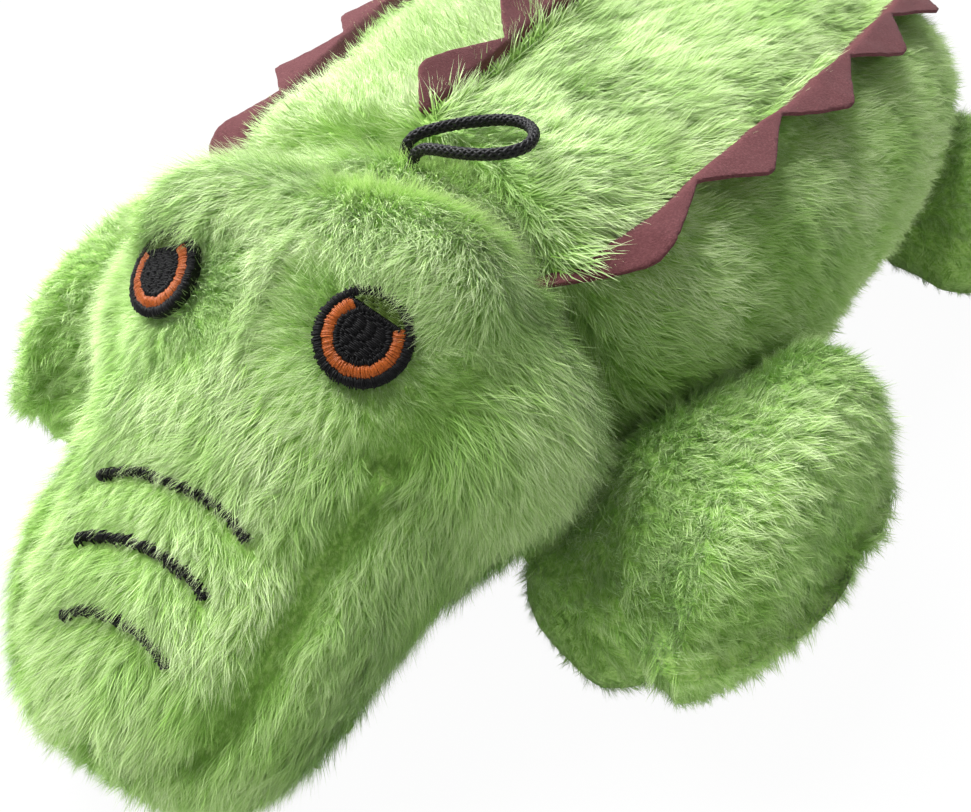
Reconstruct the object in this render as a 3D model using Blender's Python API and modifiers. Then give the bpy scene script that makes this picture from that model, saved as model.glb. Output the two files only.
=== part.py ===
"""Plush alligator chew toy, lying on its belly, with its snout towards -Y and its tail towards +Y.

The covers are cut panels of plush that meet at seams, each form is filled with a stuffing core,
felt spikes are caught in the body's seams, the eyes and the nose lines are embroidered, and a
squeaker sits in a pocket of the body's filling. Metres, +Z up, the floor at z = 0.
"""
import math

import bmesh
import bpy
from mathutils import Matrix, Vector

# Plush, seams and fits
PLUSH_WALL = 0.005          # backing and the flattened lower pile
FILL_GAP = 0.0028           # how far a coarse filling's facets stay under the plush
HEAD_FILL_GAP = 0.002
LEG_FILL_GAP = 0.0012
SEAM_GAP = 0.0004           # open line between two sewn edges
FIT_GAP = 0.0003            # clearance between a piece and its seat
FLOOR_CUT = 0.0005          # depth to which the soft underside is flattened
SMALL_END = 0.0022          # half width where the panels of a rounded end stop
OVERRUN = 0.004             # how far a cutter runs past what it cuts
SQUARENESS = 2.3            # 2 is an ellipse, more is boxier
ROUND = 2.0
CREASE_ANGLE = math.radians(13)
ANGLE_STEP = math.radians(1)

# Head. A swell is its distance from the snout tip, its angle, its spread along and about the form,
# and its rise as a share.
HEAD_REACH = 0.128          # snout tip to the neck pivot
HEAD_HALF_WIDTH = 0.063
HEAD_HEIGHT = 0.1125
NECK_BALL = 0.048
NECK_HEIGHT = 0.058
HEAD_RINGS = 17
HEAD_AROUND = 24
HEAD_CORE_AROUND = 14
NECK_TURNS = tuple(math.radians(angle) for angle in (-22, 0, 22, 44, 66, 84))
CROWN_SEAM_ANGLE = math.radians(54)
CHIN_SEAM_ANGLE = math.radians(128)
CHEEK_SEAM_SHARE = 0.46     # of the head's reach
SNOUT_END_SHARE = 0.02      # where the head's panels start, of the whole form
HEAD_CREASE = 0.06          # seams draw the surface in by these shares
BROW_SWELL = (0.086, math.radians(25), 0.014, math.radians(17), 0.055)
LIP_SWELL = (0.022, math.radians(88), 0.020, math.radians(27), 0.060)

# Body
BODY_LENGTH = 0.290
BODY_OVERLAP = 0.012        # how far the body starts ahead of the neck pivot
BODY_HALF_WIDTH = 0.105
BODY_HEIGHT = 0.1235
BODY_RINGS = 17
BODY_AROUND = 24
BODY_CORE_AROUND = 16
CORE_RINGS = 12
SPINE_CREASE = 0.02
ROW_CREASE = 0.03
BELLY_CREASE = 0.015

# Tail
TAIL_LENGTH = 0.244
TAIL_INSET = 0.010          # tail pivot ahead of the body's rear end
TAIL_HALF_WIDTH = 0.038
TAIL_HEIGHT = 0.0825
TAIL_BALL = 0.038
TAIL_PIVOT_HEIGHT = 0.046
TAIL_RINGS = 12
TAIL_AROUND = 16
TAIL_TURNS = tuple(math.radians(angle) for angle in (-84, -60, -36, -12, 12, 30))
TAIL_ENDS = (0.06, 0.985)   # first and last section of the panels, of the whole form
TAIL_TOP_CREASE = 0.03
TAIL_UNDER_CREASE = 0.02

# Legs
LEG_BALL = 0.031            # radius about the hip line
LEG_BALL_HALF_LENGTH = 0.042
LEG_HALF_HEIGHT = 0.0335
LEG_HEIGHT = 0.033          # hip line above the floor
LEG_RINGS = 10
LEG_AROUND = 16
LEG_TURNS = tuple(math.radians(angle) for angle in (4, 26, 48, 70, 90))
LEG_ENDS = (0.01, 0.985)
LEG_CREASE = 0.02
FRONT_LEG_REACH = 0.030
FRONT_LEG_STATION = 0.121   # snout tip to the hip line's middle
FRONT_LEG_OUT = 0.0895
FRONT_LEG_HALF_LENGTH = 0.0515
FRONT_LEG_LEAN = -0.005     # how far the lobe's end leans forward
REAR_LEG_REACH = 0.046
REAR_LEG_STATION = 0.336
REAR_LEG_OUT = 0.1055
REAR_LEG_HALF_LENGTH = 0.046
REAR_LEG_LEAN = -0.004

# Felt spikes
FELT_THICKNESS = 0.0012
SPIKE_PITCH = 0.042
SPIKE_HEIGHT = 0.0125
SPIKE_COUNT = 6
SIDE_ROW_START = 0.1195     # snout tip to the first spike's root
SPINE_ROW_START = 0.1395
FELT_RISE = 0.006           # upright stretch before the felt leans over
FELT_ROOT = 0.0025          # how deep the felt is caught in the seam
SIDE_ROW_ANGLE = math.radians(44)
SPINE_LEAN = math.radians(-68)
SIDE_LEAN = math.radians(66)
BELLY_SEAM_ANGLE = math.radians(126)
TAIL_SPIKE_PITCH = 0.034
TAIL_SPIKE_HEIGHT = 0.011
TAIL_SPIKE_COUNT = 5
TAIL_SPIKE_START = 0.036

# Eyes
EYE_RADIUS = 0.0100
EYE_BORDER = 0.0015
IRIS_WIDTH = 0.0023
EYE_THICKNESS = 0.0012
EYE_GAP = 0.0003
EYE_RECESS = 0.0035
EYE_ALONG_SHARE = 0.53
EYE_ANGLE = math.radians(25.5)
LID_MIDDLE = math.radians(88)
LID_SPREAD = math.radians(49)
EYE_STEPS = 32

# Nose lines, from the brow down to the nose
STITCH_RADIUS = 0.0011
STITCH_POINTS = 9
STITCH_BOW = 0.002
STITCHES = (
    ("nose_stitch_upper", 0.036, 0.020),    # name, distance from the snout tip, half width
    ("nose_stitch_middle", 0.025, 0.017),
    ("nose_stitch_lower", 0.014, 0.014),
)

# Hang loop: a cord route chosen by hand, from one end over the far bend and back
LOOP_RADIUS = 0.0015
LOOP_STATION = 0.1265
LOOP_ROUTE = (
    (-0.0004, 0.0000, 0.0000), (0.0004, 0.0002, 0.0035), (0.0024, 0.0016, 0.0060),
    (0.0060, 0.0048, 0.0072), (0.0102, 0.0088, 0.0078), (0.0146, 0.0120, 0.0082),
    (0.0190, 0.0140, 0.0086), (0.0236, 0.0138, 0.0090), (0.0278, 0.0112, 0.0092),
    (0.0306, 0.0068, 0.0093), (0.0314, 0.0018, 0.0092), (0.0296, -0.0026, 0.0090),
    (0.0258, -0.0052, 0.0086), (0.0210, -0.0060, 0.0080), (0.0162, -0.0058, 0.0074),
    (0.0118, -0.0052, 0.0068), (0.0080, -0.0044, 0.0058), (0.0052, -0.0038, 0.0036),
    (0.0042, -0.0036, 0.0000),
)
LOOP_STEPS = 3              # points read from the smooth curve for each stretch of the route

# Squeaker
SQUEAKER_STATION = 0.235
SQUEAKER_RADIUS = 0.024
SQUEAKER_HEIGHT = 0.030
SQUEAKER_FOLD = 0.003
SQUEAKER_FOLDS = 3
SQUEAKER_WALL = 0.0012
SQUEAKER_BASE = 0.028
SQUEAKER_NECK = 0.006
SQUEAKER_NECK_HEIGHT = 0.006
REED_FLANGE = 0.0015
REED_BORE_WALL = 0.001
TURN_STEPS = 24

# Rounded sections as shares: along, half width, low, high (of the form's own sizes), and for a
# leg the forward lean. The rows run from one end of the form to the other.
HEAD_SHARES = (
    (0.008, 0.03, 0.200, 0.230), (0.022, 0.29, 0.085, 0.310), (0.065, 0.50, 0.015, 0.390),
    (0.150, 0.61, 0.000, 0.520), (0.275, 0.65, 0.000, 0.635), (0.400, 0.71, 0.030, 0.760),
    (0.530, 0.85, 0.110, 0.885), (0.650, 0.98, 0.165, 0.985), (0.760, 0.99, 0.160, 1.000),
    (0.825, 0.86, 0.130, 0.940),
)
BODY_SHARES = (
    (0.000, 0.40, 0.13, 0.78), (0.015, 0.55, 0.05, 0.835), (0.040, 0.67, 0.01, 0.875),
    (0.090, 0.75, 0.00, 0.905), (0.175, 0.80, 0.00, 0.93), (0.325, 0.90, 0.00, 0.96),
    (0.490, 0.97, 0.00, 0.99), (0.660, 1.00, 0.00, 1.00), (0.810, 0.95, 0.00, 0.955),
    (0.910, 0.81, 0.01, 0.87), (0.970, 0.60, 0.06, 0.77), (1.000, 0.38, 0.14, 0.67),
)
TAIL_SHARES = (
    (0.125, 0.955, 0.050, 0.985), (0.210, 1.00, 0.000, 1.000), (0.340, 0.95, 0.000, 0.945),
    (0.500, 0.85, 0.000, 0.830), (0.660, 0.71, 0.000, 0.690), (0.800, 0.57, 0.000, 0.550),
    (0.910, 0.41, 0.000, 0.425), (0.975, 0.23, 0.050, 0.320), (1.000, 0.05, 0.170, 0.210),
)
LEG_SHARES = (
    (0.22, 1.00, 0.98, 0.35), (0.46, 0.94, 1.00, 0.60), (0.68, 0.80, 0.92, 0.85),
    (0.86, 0.59, 0.72, 1.00), (0.965, 0.34, 0.38, 1.00), (1.000, 0.05, 0.06, 1.00),
)

# Places that follow from the sizes
BODY_START = HEAD_REACH - BODY_OVERLAP
TAIL_STATION = BODY_START + BODY_LENGTH - TAIL_INSET
WHOLE_LENGTH = TAIL_STATION + TAIL_LENGTH
SNOUT_Y = -WHOLE_LENGTH / 2
HEAD_PIVOT = Vector((0, SNOUT_Y + HEAD_REACH, NECK_HEIGHT))
TAIL_PIVOT = Vector((0, SNOUT_Y + TAIL_STATION, TAIL_PIVOT_HEIGHT))
FELT_GAP = FELT_THICKNESS + 4 * FIT_GAP

GREEN = (0.30, 0.56, 0.12)
PALE_GREEN = (0.42, 0.66, 0.22)
MAROON = (0.16, 0.055, 0.07)
BLACK = (0.012, 0.012, 0.014)
ORANGE = (0.72, 0.16, 0.02)
OLIVE = (0.10, 0.18, 0.012)
WHITE = (0.80, 0.80, 0.78)
CLEAR_BLUE = (0.55, 0.65, 0.75)


def start_scene():
    """Empties the scene and makes the part's collection and the cutters' one."""
    for item in list(bpy.data.objects):
        bpy.data.objects.remove(item, do_unlink=True)
    made = []
    for name in ("plush_alligator", "cutters"):
        collection = bpy.data.collections.new(name)
        bpy.context.scene.collection.children.link(collection)
        made.append(collection)
    return made


PART, CUTTERS = start_scene()


def finish_material(name, colour, roughness):
    """A Principled material with one colour and roughness."""
    found = bpy.data.materials.get(name)
    if found:
        return found
    material = bpy.data.materials.new(name)
    material.use_nodes = True
    shader = material.node_tree.nodes["Principled BSDF"]
    shader.inputs["Base Color"].default_value = (*colour, 1.0)
    shader.inputs["Roughness"].default_value = roughness
    shader.inputs["Metallic"].default_value = 0.0
    return material


PLUSH = finish_material("green_plush", GREEN, 0.95)
UNDER_PLUSH = finish_material("pale_green_plush", PALE_GREEN, 0.95)
FELT = finish_material("maroon_felt", MAROON, 0.9)
BLACK_THREAD = finish_material("black_thread", BLACK, 0.45)
ORANGE_THREAD = finish_material("orange_thread", ORANGE, 0.45)
OLIVE_THREAD = finish_material("olive_thread", OLIVE, 0.5)
FIBRE = finish_material("stuffing_fibre", WHITE, 0.95)
CORD = finish_material("black_cord", BLACK, 0.6)
SQUEAKER_PLASTIC = finish_material("squeaker_plastic", CLEAR_BLUE, 0.4)


def add(name, data, material=None, parent=None, collection=PART):
    """Puts a mesh or curve in the scene as one named object."""
    item = bpy.data.objects.new(name, data)
    collection.objects.link(item)
    if material:
        data.materials.append(material)
    if parent:
        item.parent = parent
        item.matrix_parent_inverse = Matrix.Translation(parent.location).inverted()
    return item


def axis_empty(name, place):
    """An empty on a joint's axis, which carries the pieces that move with it."""
    item = bpy.data.objects.new(name, None)
    item.location = place
    PART.objects.link(item)
    return item


def mesh_from(name, points, faces):
    """A mesh with its faces turned outwards."""
    work = bmesh.new()
    corners = [work.verts.new(point) for point in points]
    for face in faces:
        work.faces.new([corners[index] for index in face])
    bmesh.ops.recalc_face_normals(work, faces=work.faces)
    mesh = bpy.data.meshes.new(name)
    work.to_mesh(mesh)
    work.free()
    return mesh


def smooth(item):
    item.data.shade_smooth()
    item.data.set_sharp_from_angle(angle=math.radians(50))


def signed_power(value, power):
    return math.copysign(abs(value) ** power, value)


def blended(rows, t):
    """The row at t, from 0 to 1, on a smooth curve through all the rows."""
    place = min(max(t, 0.0), 1.0) * (len(rows) - 1)
    index = min(int(place), len(rows) - 2)
    part = place - index
    near = [rows[max(index - 1, 0)], rows[index], rows[index + 1], rows[min(index + 2, len(rows) - 1)]]
    return [
        0.5 * (2 * b + (c - a) * part + (2 * a - 5 * b + 4 * c - d) * part ** 2
               + (3 * b - a - 3 * c + d) * part ** 3)
        for a, b, c, d in zip(*near)
    ]


class Form:
    """A stuffed form: rounded sections along an axis, from rows of along, half width, low, high,
    sideways lean and squareness. place turns along, across and up into a point of the scene."""

    def __init__(self, rows, place, rings, around, creases=(), swells=()):
        self.rows = rows
        self.place = place
        self.rings = rings
        self.around = around
        self.creases = creases
        self.swells = swells
        self.start = rows[0][0]
        self.span = rows[-1][0] - rows[0][0]
        self.widest = max(row[1] for row in rows)
        self.tallest = max(row[3] - row[2] for row in rows) / 2

    def relief(self, along, angle):
        """What the seams draw in and the swells push out here, as a share of the section's size."""
        share = 1.0
        for seam, depth in self.creases:
            away = math.remainder(angle - seam, 2 * math.pi)
            share -= depth * math.exp(-((away / CREASE_ANGLE) ** 2))
        for place, middle, length, spread, rise in self.swells:
            away = math.remainder(angle - middle, 2 * math.pi)
            share += rise * math.exp(-(((along - place) / length) ** 2) - (away / spread) ** 2)
        return share

    def point(self, t, angle, inset=0.0):
        """A point of the form's surface. Angle 0 is the top, and inset steps it inwards."""
        along, half_width, low, high, lean, squareness = blended(self.rows, t)
        relief = self.relief(along, angle)
        along = self.start + inset + (along - self.start) * (1 - 2 * inset / self.span)
        half_width *= (1 - inset / self.widest) * relief
        rise = (high - low) / 2 * (1 - inset / self.tallest) * relief
        across = lean + half_width * signed_power(math.sin(angle), 2 / squareness)
        up = (low + high) / 2 + rise * signed_power(math.cos(angle), 2 / squareness)
        return self.place(along, across, up)

    def middle(self, t, inset=0.0):
        """The centre of the section at t."""
        top = self.point(t, 0.0, inset)
        return (top + self.point(t, math.pi, inset)) / 2

    def turn_rate(self, t, angle, inset):
        step = ANGLE_STEP
        ahead = self.point(t, angle + step, inset)
        return max((ahead - self.point(t, angle - step, inset)).length / (2 * step), SMALL_END / 2)

    def run_rate(self, t, angle):
        step = 1 / (8 * self.rings)
        return (self.point(t + step, angle) - self.point(t - step, angle)).length / (2 * step)

    def t_at(self, along):
        """The t whose section stands at this distance along the form."""
        low, high = 0.0, 1.0
        for _ in range(40):
            half = (low + high) / 2
            if blended(self.rows, half)[0] < along:
                low = half
            else:
                high = half
        return (low + high) / 2


def panel(name, form, angles, ends, material, parent=None, gaps=(SEAM_GAP, SEAM_GAP),
          end_gaps=(0.0, 0.0)):
    """One cut piece of plush: the form's surface between two seams, with its wall's thickness."""
    first, last = angles
    columns = max(2, round((last - first) / (2 * math.pi) * form.around))
    rings = max(3, round(form.rings * (ends[1] - ends[0])))
    start = ends[0] + end_gaps[0] / 2 / form.run_rate(ends[0], (first + last) / 2)
    stop = ends[1] - end_gaps[1] / 2 / form.run_rate(ends[1], (first + last) / 2)
    points = []
    for inset in (0.0, PLUSH_WALL):
        for ring in range(rings + 1):
            t = start + (stop - start) * ring / rings
            left = first + gaps[0] / 2 / form.turn_rate(t, first, inset)
            right = last - gaps[1] / 2 / form.turn_rate(t, last, inset)
            for column in range(columns + 1):
                angle = left + (right - left) * column / columns
                points.append(form.point(t, angle, inset))
    wide = columns + 1
    inner = wide * (rings + 1)
    faces = []
    for ring in range(rings):
        for column in range(columns):
            at = ring * wide + column
            square = (at, at + 1, at + wide + 1, at + wide)
            faces.append(square)
            faces.append(tuple(inner + index for index in reversed(square)))
    border = [(0, column) for column in range(columns)]
    border += [(ring, columns) for ring in range(rings)]
    border += [(rings, column) for column in range(columns, 0, -1)]
    border += [(ring, 0) for ring in range(rings, 0, -1)]
    loop = [ring * wide + column for ring, column in border]
    for here, there in zip(loop, loop[1:] + loop[:1]):
        faces.append((here, there, inner + there, inner + here))
    item = add(name, mesh_from(name, points, faces), material, parent)
    smooth(item)
    return item


def core(name, form, parent, rings, around, fill_gap=FILL_GAP):
    """The stuffing: the form's surface stepped in under the plush, closed at both ends."""
    inset = PLUSH_WALL + fill_gap
    points = [form.middle(0.0, inset)]
    for ring in range(rings + 1):
        t = ring / rings
        for column in range(around):
            points.append(form.point(t, 2 * math.pi * column / around, inset))
    points.append(form.middle(1.0, inset))
    faces = []
    for column in range(around):
        beside = (column + 1) % around
        faces.append((0, 1 + column, 1 + beside))
        faces.append((len(points) - 1, 1 + rings * around + beside, 1 + rings * around + column))
        for ring in range(rings):
            at = 1 + ring * around
            faces.append((at + column, at + around + column, at + around + beside, at + beside))
    item = add(name, mesh_from(name, points, faces), FIBRE, parent)
    smooth(item)
    return item


def as_cutter(item):
    item.hide_render = True
    item.display_type = "WIRE"
    return item


def ball_cutter(name, place, radius, half_length=None):
    """A ball a fit's clearance larger than what turns in it, stretched along Y to half_length."""
    work = bmesh.new()
    bmesh.ops.create_uvsphere(work, u_segments=TURN_STEPS, v_segments=TURN_STEPS // 2, radius=1.0)
    for face in work.faces:
        face.smooth = True
    facets = math.cos(math.pi / TURN_STEPS) ** 2
    size = (radius + FIT_GAP) / facets
    stretch = ((half_length or radius) + FIT_GAP) / facets
    bmesh.ops.scale(work, vec=(size, stretch, size), verts=work.verts)
    mesh = bpy.data.meshes.new(name)
    work.to_mesh(mesh)
    work.free()
    item = as_cutter(add(name, mesh, collection=CUTTERS))
    item.location = place
    return item


def cut(item, cutter):
    """Takes the cutter's space out of the item."""
    modifier = item.modifiers.new("cut_" + cutter.name, "BOOLEAN")
    modifier.operation = "DIFFERENCE"
    modifier.solver = "EXACT"
    modifier.object = cutter


def floor_cutter():
    """A block under the floor that flattens every soft underside."""
    bpy.ops.mesh.primitive_cube_add(size=1.0)
    item = bpy.context.active_object
    item.name = "floor_cutter"
    for collection in list(item.users_collection):
        collection.objects.unlink(item)
    CUTTERS.objects.link(item)
    wide = 2 * (REAR_LEG_OUT + REAR_LEG_REACH) + OVERRUN
    item.scale = (wide, WHOLE_LENGTH + OVERRUN, OVERRUN)
    item.location = (0, 0, -OVERRUN / 2)
    return as_cutter(item)


def along_y(start):
    """Puts a section at start plus along on the Y axis, across on X and up on Z."""
    def place(along, across, up):
        return Vector((across, start + along, up))
    return place


def outwards(side, pivot):
    """Puts a leg's section out from its hip line, on the toy's left (1) or right (-1)."""
    def place(along, across, up):
        return Vector((pivot.x + side * along, pivot.y - across, up))
    return place


def sized(shares, length, half_width, height):
    """Rows in metres from shares, standing on the flattened underside."""
    return [
        (along * length, wide * half_width, low * height - FLOOR_CUT, high * height - FLOOR_CUT,
         0.0, SQUARENESS)
        for along, wide, low, high in shares
    ]


def ball_rows(centre, radius, height, turns):
    """Rows of a ball of this radius about a pivot, for the turns past its equator."""
    return [
        (centre + radius * math.sin(turn), radius * math.cos(turn),
         height - radius * math.cos(turn), height + radius * math.cos(turn), 0.0, ROUND)
        for turn in turns
    ]


def head_form():
    rows = sized(HEAD_SHARES, HEAD_REACH, HEAD_HALF_WIDTH, HEAD_HEIGHT)
    rows += ball_rows(HEAD_REACH, NECK_BALL, NECK_HEIGHT, NECK_TURNS)
    creases, swells = [], []
    for side in (1, -1):
        creases.append((side * CROWN_SEAM_ANGLE, HEAD_CREASE))
        for place, angle, *rest in (BROW_SWELL, LIP_SWELL):
            swells.append((place, side * angle, *rest))
    return Form(rows, along_y(SNOUT_Y), HEAD_RINGS, HEAD_AROUND, creases, swells)


def body_form():
    rows = sized(BODY_SHARES, BODY_LENGTH, BODY_HALF_WIDTH, BODY_HEIGHT)
    creases = [(0.0, SPINE_CREASE)]
    for side in (1, -1):
        creases += [(side * SIDE_ROW_ANGLE, ROW_CREASE), (side * BELLY_SEAM_ANGLE, BELLY_CREASE)]
    return Form(rows, along_y(SNOUT_Y + BODY_START), BODY_RINGS, BODY_AROUND, creases)


def tail_form():
    rows = ball_rows(0.0, TAIL_BALL, TAIL_PIVOT_HEIGHT, TAIL_TURNS)
    rows += sized(TAIL_SHARES, TAIL_LENGTH, TAIL_HALF_WIDTH, TAIL_HEIGHT)
    creases = ((0.0, TAIL_TOP_CREASE), (math.pi, TAIL_UNDER_CREASE))
    return Form(rows, along_y(TAIL_PIVOT.y), TAIL_RINGS, TAIL_AROUND, creases)


def leg_form(side, pivot, reach, half_length, lean):
    rows = []
    for turn in LEG_TURNS:
        share = math.sin(turn)
        rows.append((-LEG_BALL * math.cos(turn), LEG_BALL_HALF_LENGTH * share,
                     LEG_HEIGHT - LEG_BALL * share, LEG_HEIGHT + LEG_BALL * share, 0.0, ROUND))
    for along, long_share, high_share, lean_share in LEG_SHARES:
        rise = high_share * LEG_HALF_HEIGHT
        rows.append((along * reach, long_share * half_length,
                     LEG_HEIGHT - rise, LEG_HEIGHT + rise, lean_share * lean, SQUARENESS))
    half_turn = math.pi / 2
    creases = ((half_turn, LEG_CREASE), (-half_turn, LEG_CREASE))
    return Form(rows, outwards(side, pivot), LEG_RINGS, LEG_AROUND, creases)


def felt_line(form, angle, along, inset):
    """A point on a seam, on the straight stretch between the panel's own rings."""
    rings = form.rings
    place = form.t_at(along) * rings
    ring = min(int(place), rings - 1)
    near = form.point(ring / rings, angle, inset)
    far = form.point((ring + 1) / rings, angle, inset)
    return near.lerp(far, place - ring)


def felt_row(name, form, angle, lean, start, pitch, count, height, parent=None):
    """A strip of felt caught in a seam, with its teeth bent over by the lean from the seam's way
    out. Its stations are the panels' rings and the teeth's corners, so it follows the facets."""
    stop = start + pitch * count
    stations = {start + pitch * index / 2 for index in range(2 * count + 1)}
    for ring in range(form.rings + 1):
        along = blended(form.rows, ring / form.rings)[0]
        if start < along < stop and min(abs(along - station) for station in stations) > FELT_RISE:
            stations.add(along)
    stations = sorted(stations)
    points = []
    for along in stations:
        inner = felt_line(form, angle, along, FELT_ROOT)
        seam = felt_line(form, angle, along, 0.0)
        out = (seam - inner).normalized()
        bent = Matrix.Rotation(lean, 3, "Y") @ out
        tooth = (along - start) / pitch % 1.0
        share = 1.0 - abs(2.0 * tooth - 1.0)
        bend = seam + out * FELT_RISE
        points += [inner, bend, bend + bent * (FELT_THICKNESS + share * height)]
    faces = []
    for index in range(len(stations) - 1):
        at = index * 3
        faces += [(at, at + 1, at + 4, at + 3), (at + 1, at + 2, at + 5, at + 4)]
    item = add(name, mesh_from(name, points, faces), FELT, parent)
    shell = item.modifiers.new("felt_thickness", "SOLIDIFY")
    shell.thickness = FELT_THICKNESS
    shell.offset = 0.0
    return item


def flat_piece(name, points, faces, matrix, material, parent):
    """A flat embroidered patch, extruded to its thickness and set at its place."""
    mesh = bpy.data.meshes.new(name)
    mesh.from_pydata([matrix @ Vector(point) for point in points], [], faces)
    item = add(name, mesh, material, parent)
    shell = item.modifiers.new("thread_thickness", "SOLIDIFY")
    shell.thickness = EYE_THICKNESS
    shell.offset = 1.0
    return item


def arc(radius, start, stop, steps):
    return [
        (radius * math.cos(start + (stop - start) * step / steps),
         radius * math.sin(start + (stop - start) * step / steps), 0.0)
        for step in range(steps + 1)
    ]


def band(outer, inner):
    """Points and faces of the strip between two lines with the same number of points."""
    count = len(outer)
    faces = [(at, at + 1, count + at + 1, count + at) for at in range(count - 1)]
    return outer + inner, faces


def eye(side, name_end, form, parent, panel_item):
    """One embroidered eye, seated in a recess pressed into the plush."""
    t = form.t_at(EYE_ALONG_SHARE * (HEAD_REACH + SMALL_END))
    centre = form.point(t, side * EYE_ANGLE)
    spread = EYE_RADIUS / form.widest
    across = form.point(t, side * (EYE_ANGLE + spread)) - form.point(t, side * (EYE_ANGLE - spread))
    step = 1 / form.rings
    back = form.point(t + step, side * EYE_ANGLE) - form.point(t - step, side * EYE_ANGLE)
    normal = (across * side).cross(back).normalized()
    flat = (across * side - normal * across.dot(normal) * side).normalized()
    upward = normal.cross(flat)
    turn = Matrix((flat, upward, normal)).transposed().to_4x4()
    floor = EYE_RECESS - EYE_GAP
    matrix = Matrix.Translation(centre - normal * floor) @ turn

    bpy.ops.mesh.primitive_cylinder_add(
        vertices=EYE_STEPS, radius=EYE_RADIUS + FIT_GAP, depth=EYE_RECESS + 2 * OVERRUN)
    cutter = bpy.context.active_object
    cutter.name = "eye_recess_" + name_end
    for collection in list(cutter.users_collection):
        collection.objects.unlink(cutter)
    CUTTERS.objects.link(cutter)
    cutter.matrix_world = Matrix.Translation(
        centre + normal * ((EYE_RECESS + 2 * OVERRUN) / 2 - EYE_RECESS)) @ turn
    cut(panel_item, as_cutter(cutter))

    rim = EYE_RADIUS - EYE_BORDER
    full = 2 * math.pi
    outer = arc(EYE_RADIUS, 0.0, full, EYE_STEPS)[:-1]
    inner = arc(rim, 0.0, full, EYE_STEPS)[:-1]
    count = EYE_STEPS
    ring_faces = [(at, (at + 1) % count, count + (at + 1) % count, count + at) for at in range(count)]
    flat_piece("eye_border_" + name_end, outer + inner, ring_faces, matrix, BLACK_THREAD, parent)

    inside = rim - EYE_GAP
    middle = LID_MIDDLE if side > 0 else math.pi - LID_MIDDLE
    chord = inside * math.cos(LID_SPREAD)
    lid = arc(inside, middle - LID_SPREAD, middle + LID_SPREAD, EYE_STEPS // 4)
    flat_piece("eye_lid_" + name_end, lid, [tuple(range(len(lid)))], matrix, OLIVE_THREAD, parent)

    hole = inside - IRIS_WIDTH
    open_outer = math.acos((chord - EYE_GAP) / inside)
    open_inner = math.acos(min((chord - EYE_GAP) / hole, 1.0))
    steps = 3 * EYE_STEPS // 4
    iris_points, iris_faces = band(
        arc(inside, middle + open_outer, middle + full - open_outer, steps),
        arc(hole, middle + open_inner, middle + full - open_inner, steps))
    flat_piece("eye_iris_" + name_end, iris_points, iris_faces, matrix, ORANGE_THREAD, parent)

    pupil_radius = hole - EYE_GAP
    pupil_open = math.acos(min((chord - EYE_GAP) / pupil_radius, 1.0))
    pupil = arc(pupil_radius, middle + pupil_open, middle + full - pupil_open, steps)
    if pupil_open == 0.0:
        pupil = pupil[:-1]
    flat_piece("eye_pupil_" + name_end, pupil, [tuple(range(len(pupil)))], matrix, BLACK_THREAD, parent)


def tube(name, points, radius, material, parent=None, resolution=1, collection=PART):
    """A round cord or thread along the points, with filled ends."""
    curve = bpy.data.curves.new(name, "CURVE")
    curve.dimensions = "3D"
    curve.bevel_depth = radius
    curve.bevel_resolution = resolution
    curve.use_fill_caps = True
    spline = curve.splines.new("POLY")
    spline.points.add(len(points) - 1)
    for target, point in zip(spline.points, points):
        target.co = (*point, 1.0)
    return add(name, curve, material, parent, collection)


def tube_cutter(name, points, radius):
    """The tube's space as a closed mesh."""
    curve = tube(name + "_curve", points, radius, None, collection=CUTTERS)
    evaluated = curve.evaluated_get(bpy.context.evaluated_depsgraph_get())
    mesh = bpy.data.meshes.new_from_object(evaluated)
    work = bmesh.new()
    work.from_mesh(mesh)
    bmesh.ops.remove_doubles(work, verts=work.verts, dist=FIT_GAP / 10)
    bmesh.ops.recalc_face_normals(work, faces=work.faces)
    work.to_mesh(mesh)
    work.free()
    bpy.data.objects.remove(curve, do_unlink=True)
    return as_cutter(add(name, mesh, collection=CUTTERS))


def nose_stitches(form, parent, panel_item):
    """Embroidered lines across the snout, each in the groove that its thread presses."""
    for name, station, half_width in STITCHES:
        section = blended(form.rows, form.t_at(station))
        spread = math.asin((half_width / section[1]) ** (SQUARENESS / 2))
        line = []
        for index in range(STITCH_POINTS):
            share = 2 * index / (STITCH_POINTS - 1) - 1
            t = form.t_at(station + STITCH_BOW * (0.5 - share ** 2))
            line.append(form.point(t, spread * share))
        tube(name, line, STITCH_RADIUS, BLACK_THREAD, parent)
        ends = [line[0] + (line[0] - line[1]).normalized() * FIT_GAP,
                line[-1] + (line[-1] - line[-2]).normalized() * FIT_GAP]
        groove = [ends[0]] + line[1:-1] + [ends[1]]
        cut(panel_item, tube_cutter(name + "_groove", groove, STITCH_RADIUS + 2 * FIT_GAP))


def turned(name, profile, thickness, place, material, parent=None):
    """An open profile turned about Z and given its wall by Solidify."""
    points = [Vector((radius, 0, up)) for radius, up in profile]
    mesh = bpy.data.meshes.new(name)
    mesh.from_pydata(points, [(at, at + 1) for at in range(len(points) - 1)], [])
    item = add(name, mesh, material, parent)
    item.location = place
    screw = item.modifiers.new("turn", "SCREW")
    screw.steps = TURN_STEPS
    screw.render_steps = TURN_STEPS
    screw.use_merge_vertices = True
    screw.merge_threshold = 0.00001
    screw.use_normal_calculate = False
    shell = item.modifiers.new("wall", "SOLIDIFY")
    shell.thickness = thickness
    shell.offset = -1.0
    return item


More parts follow.
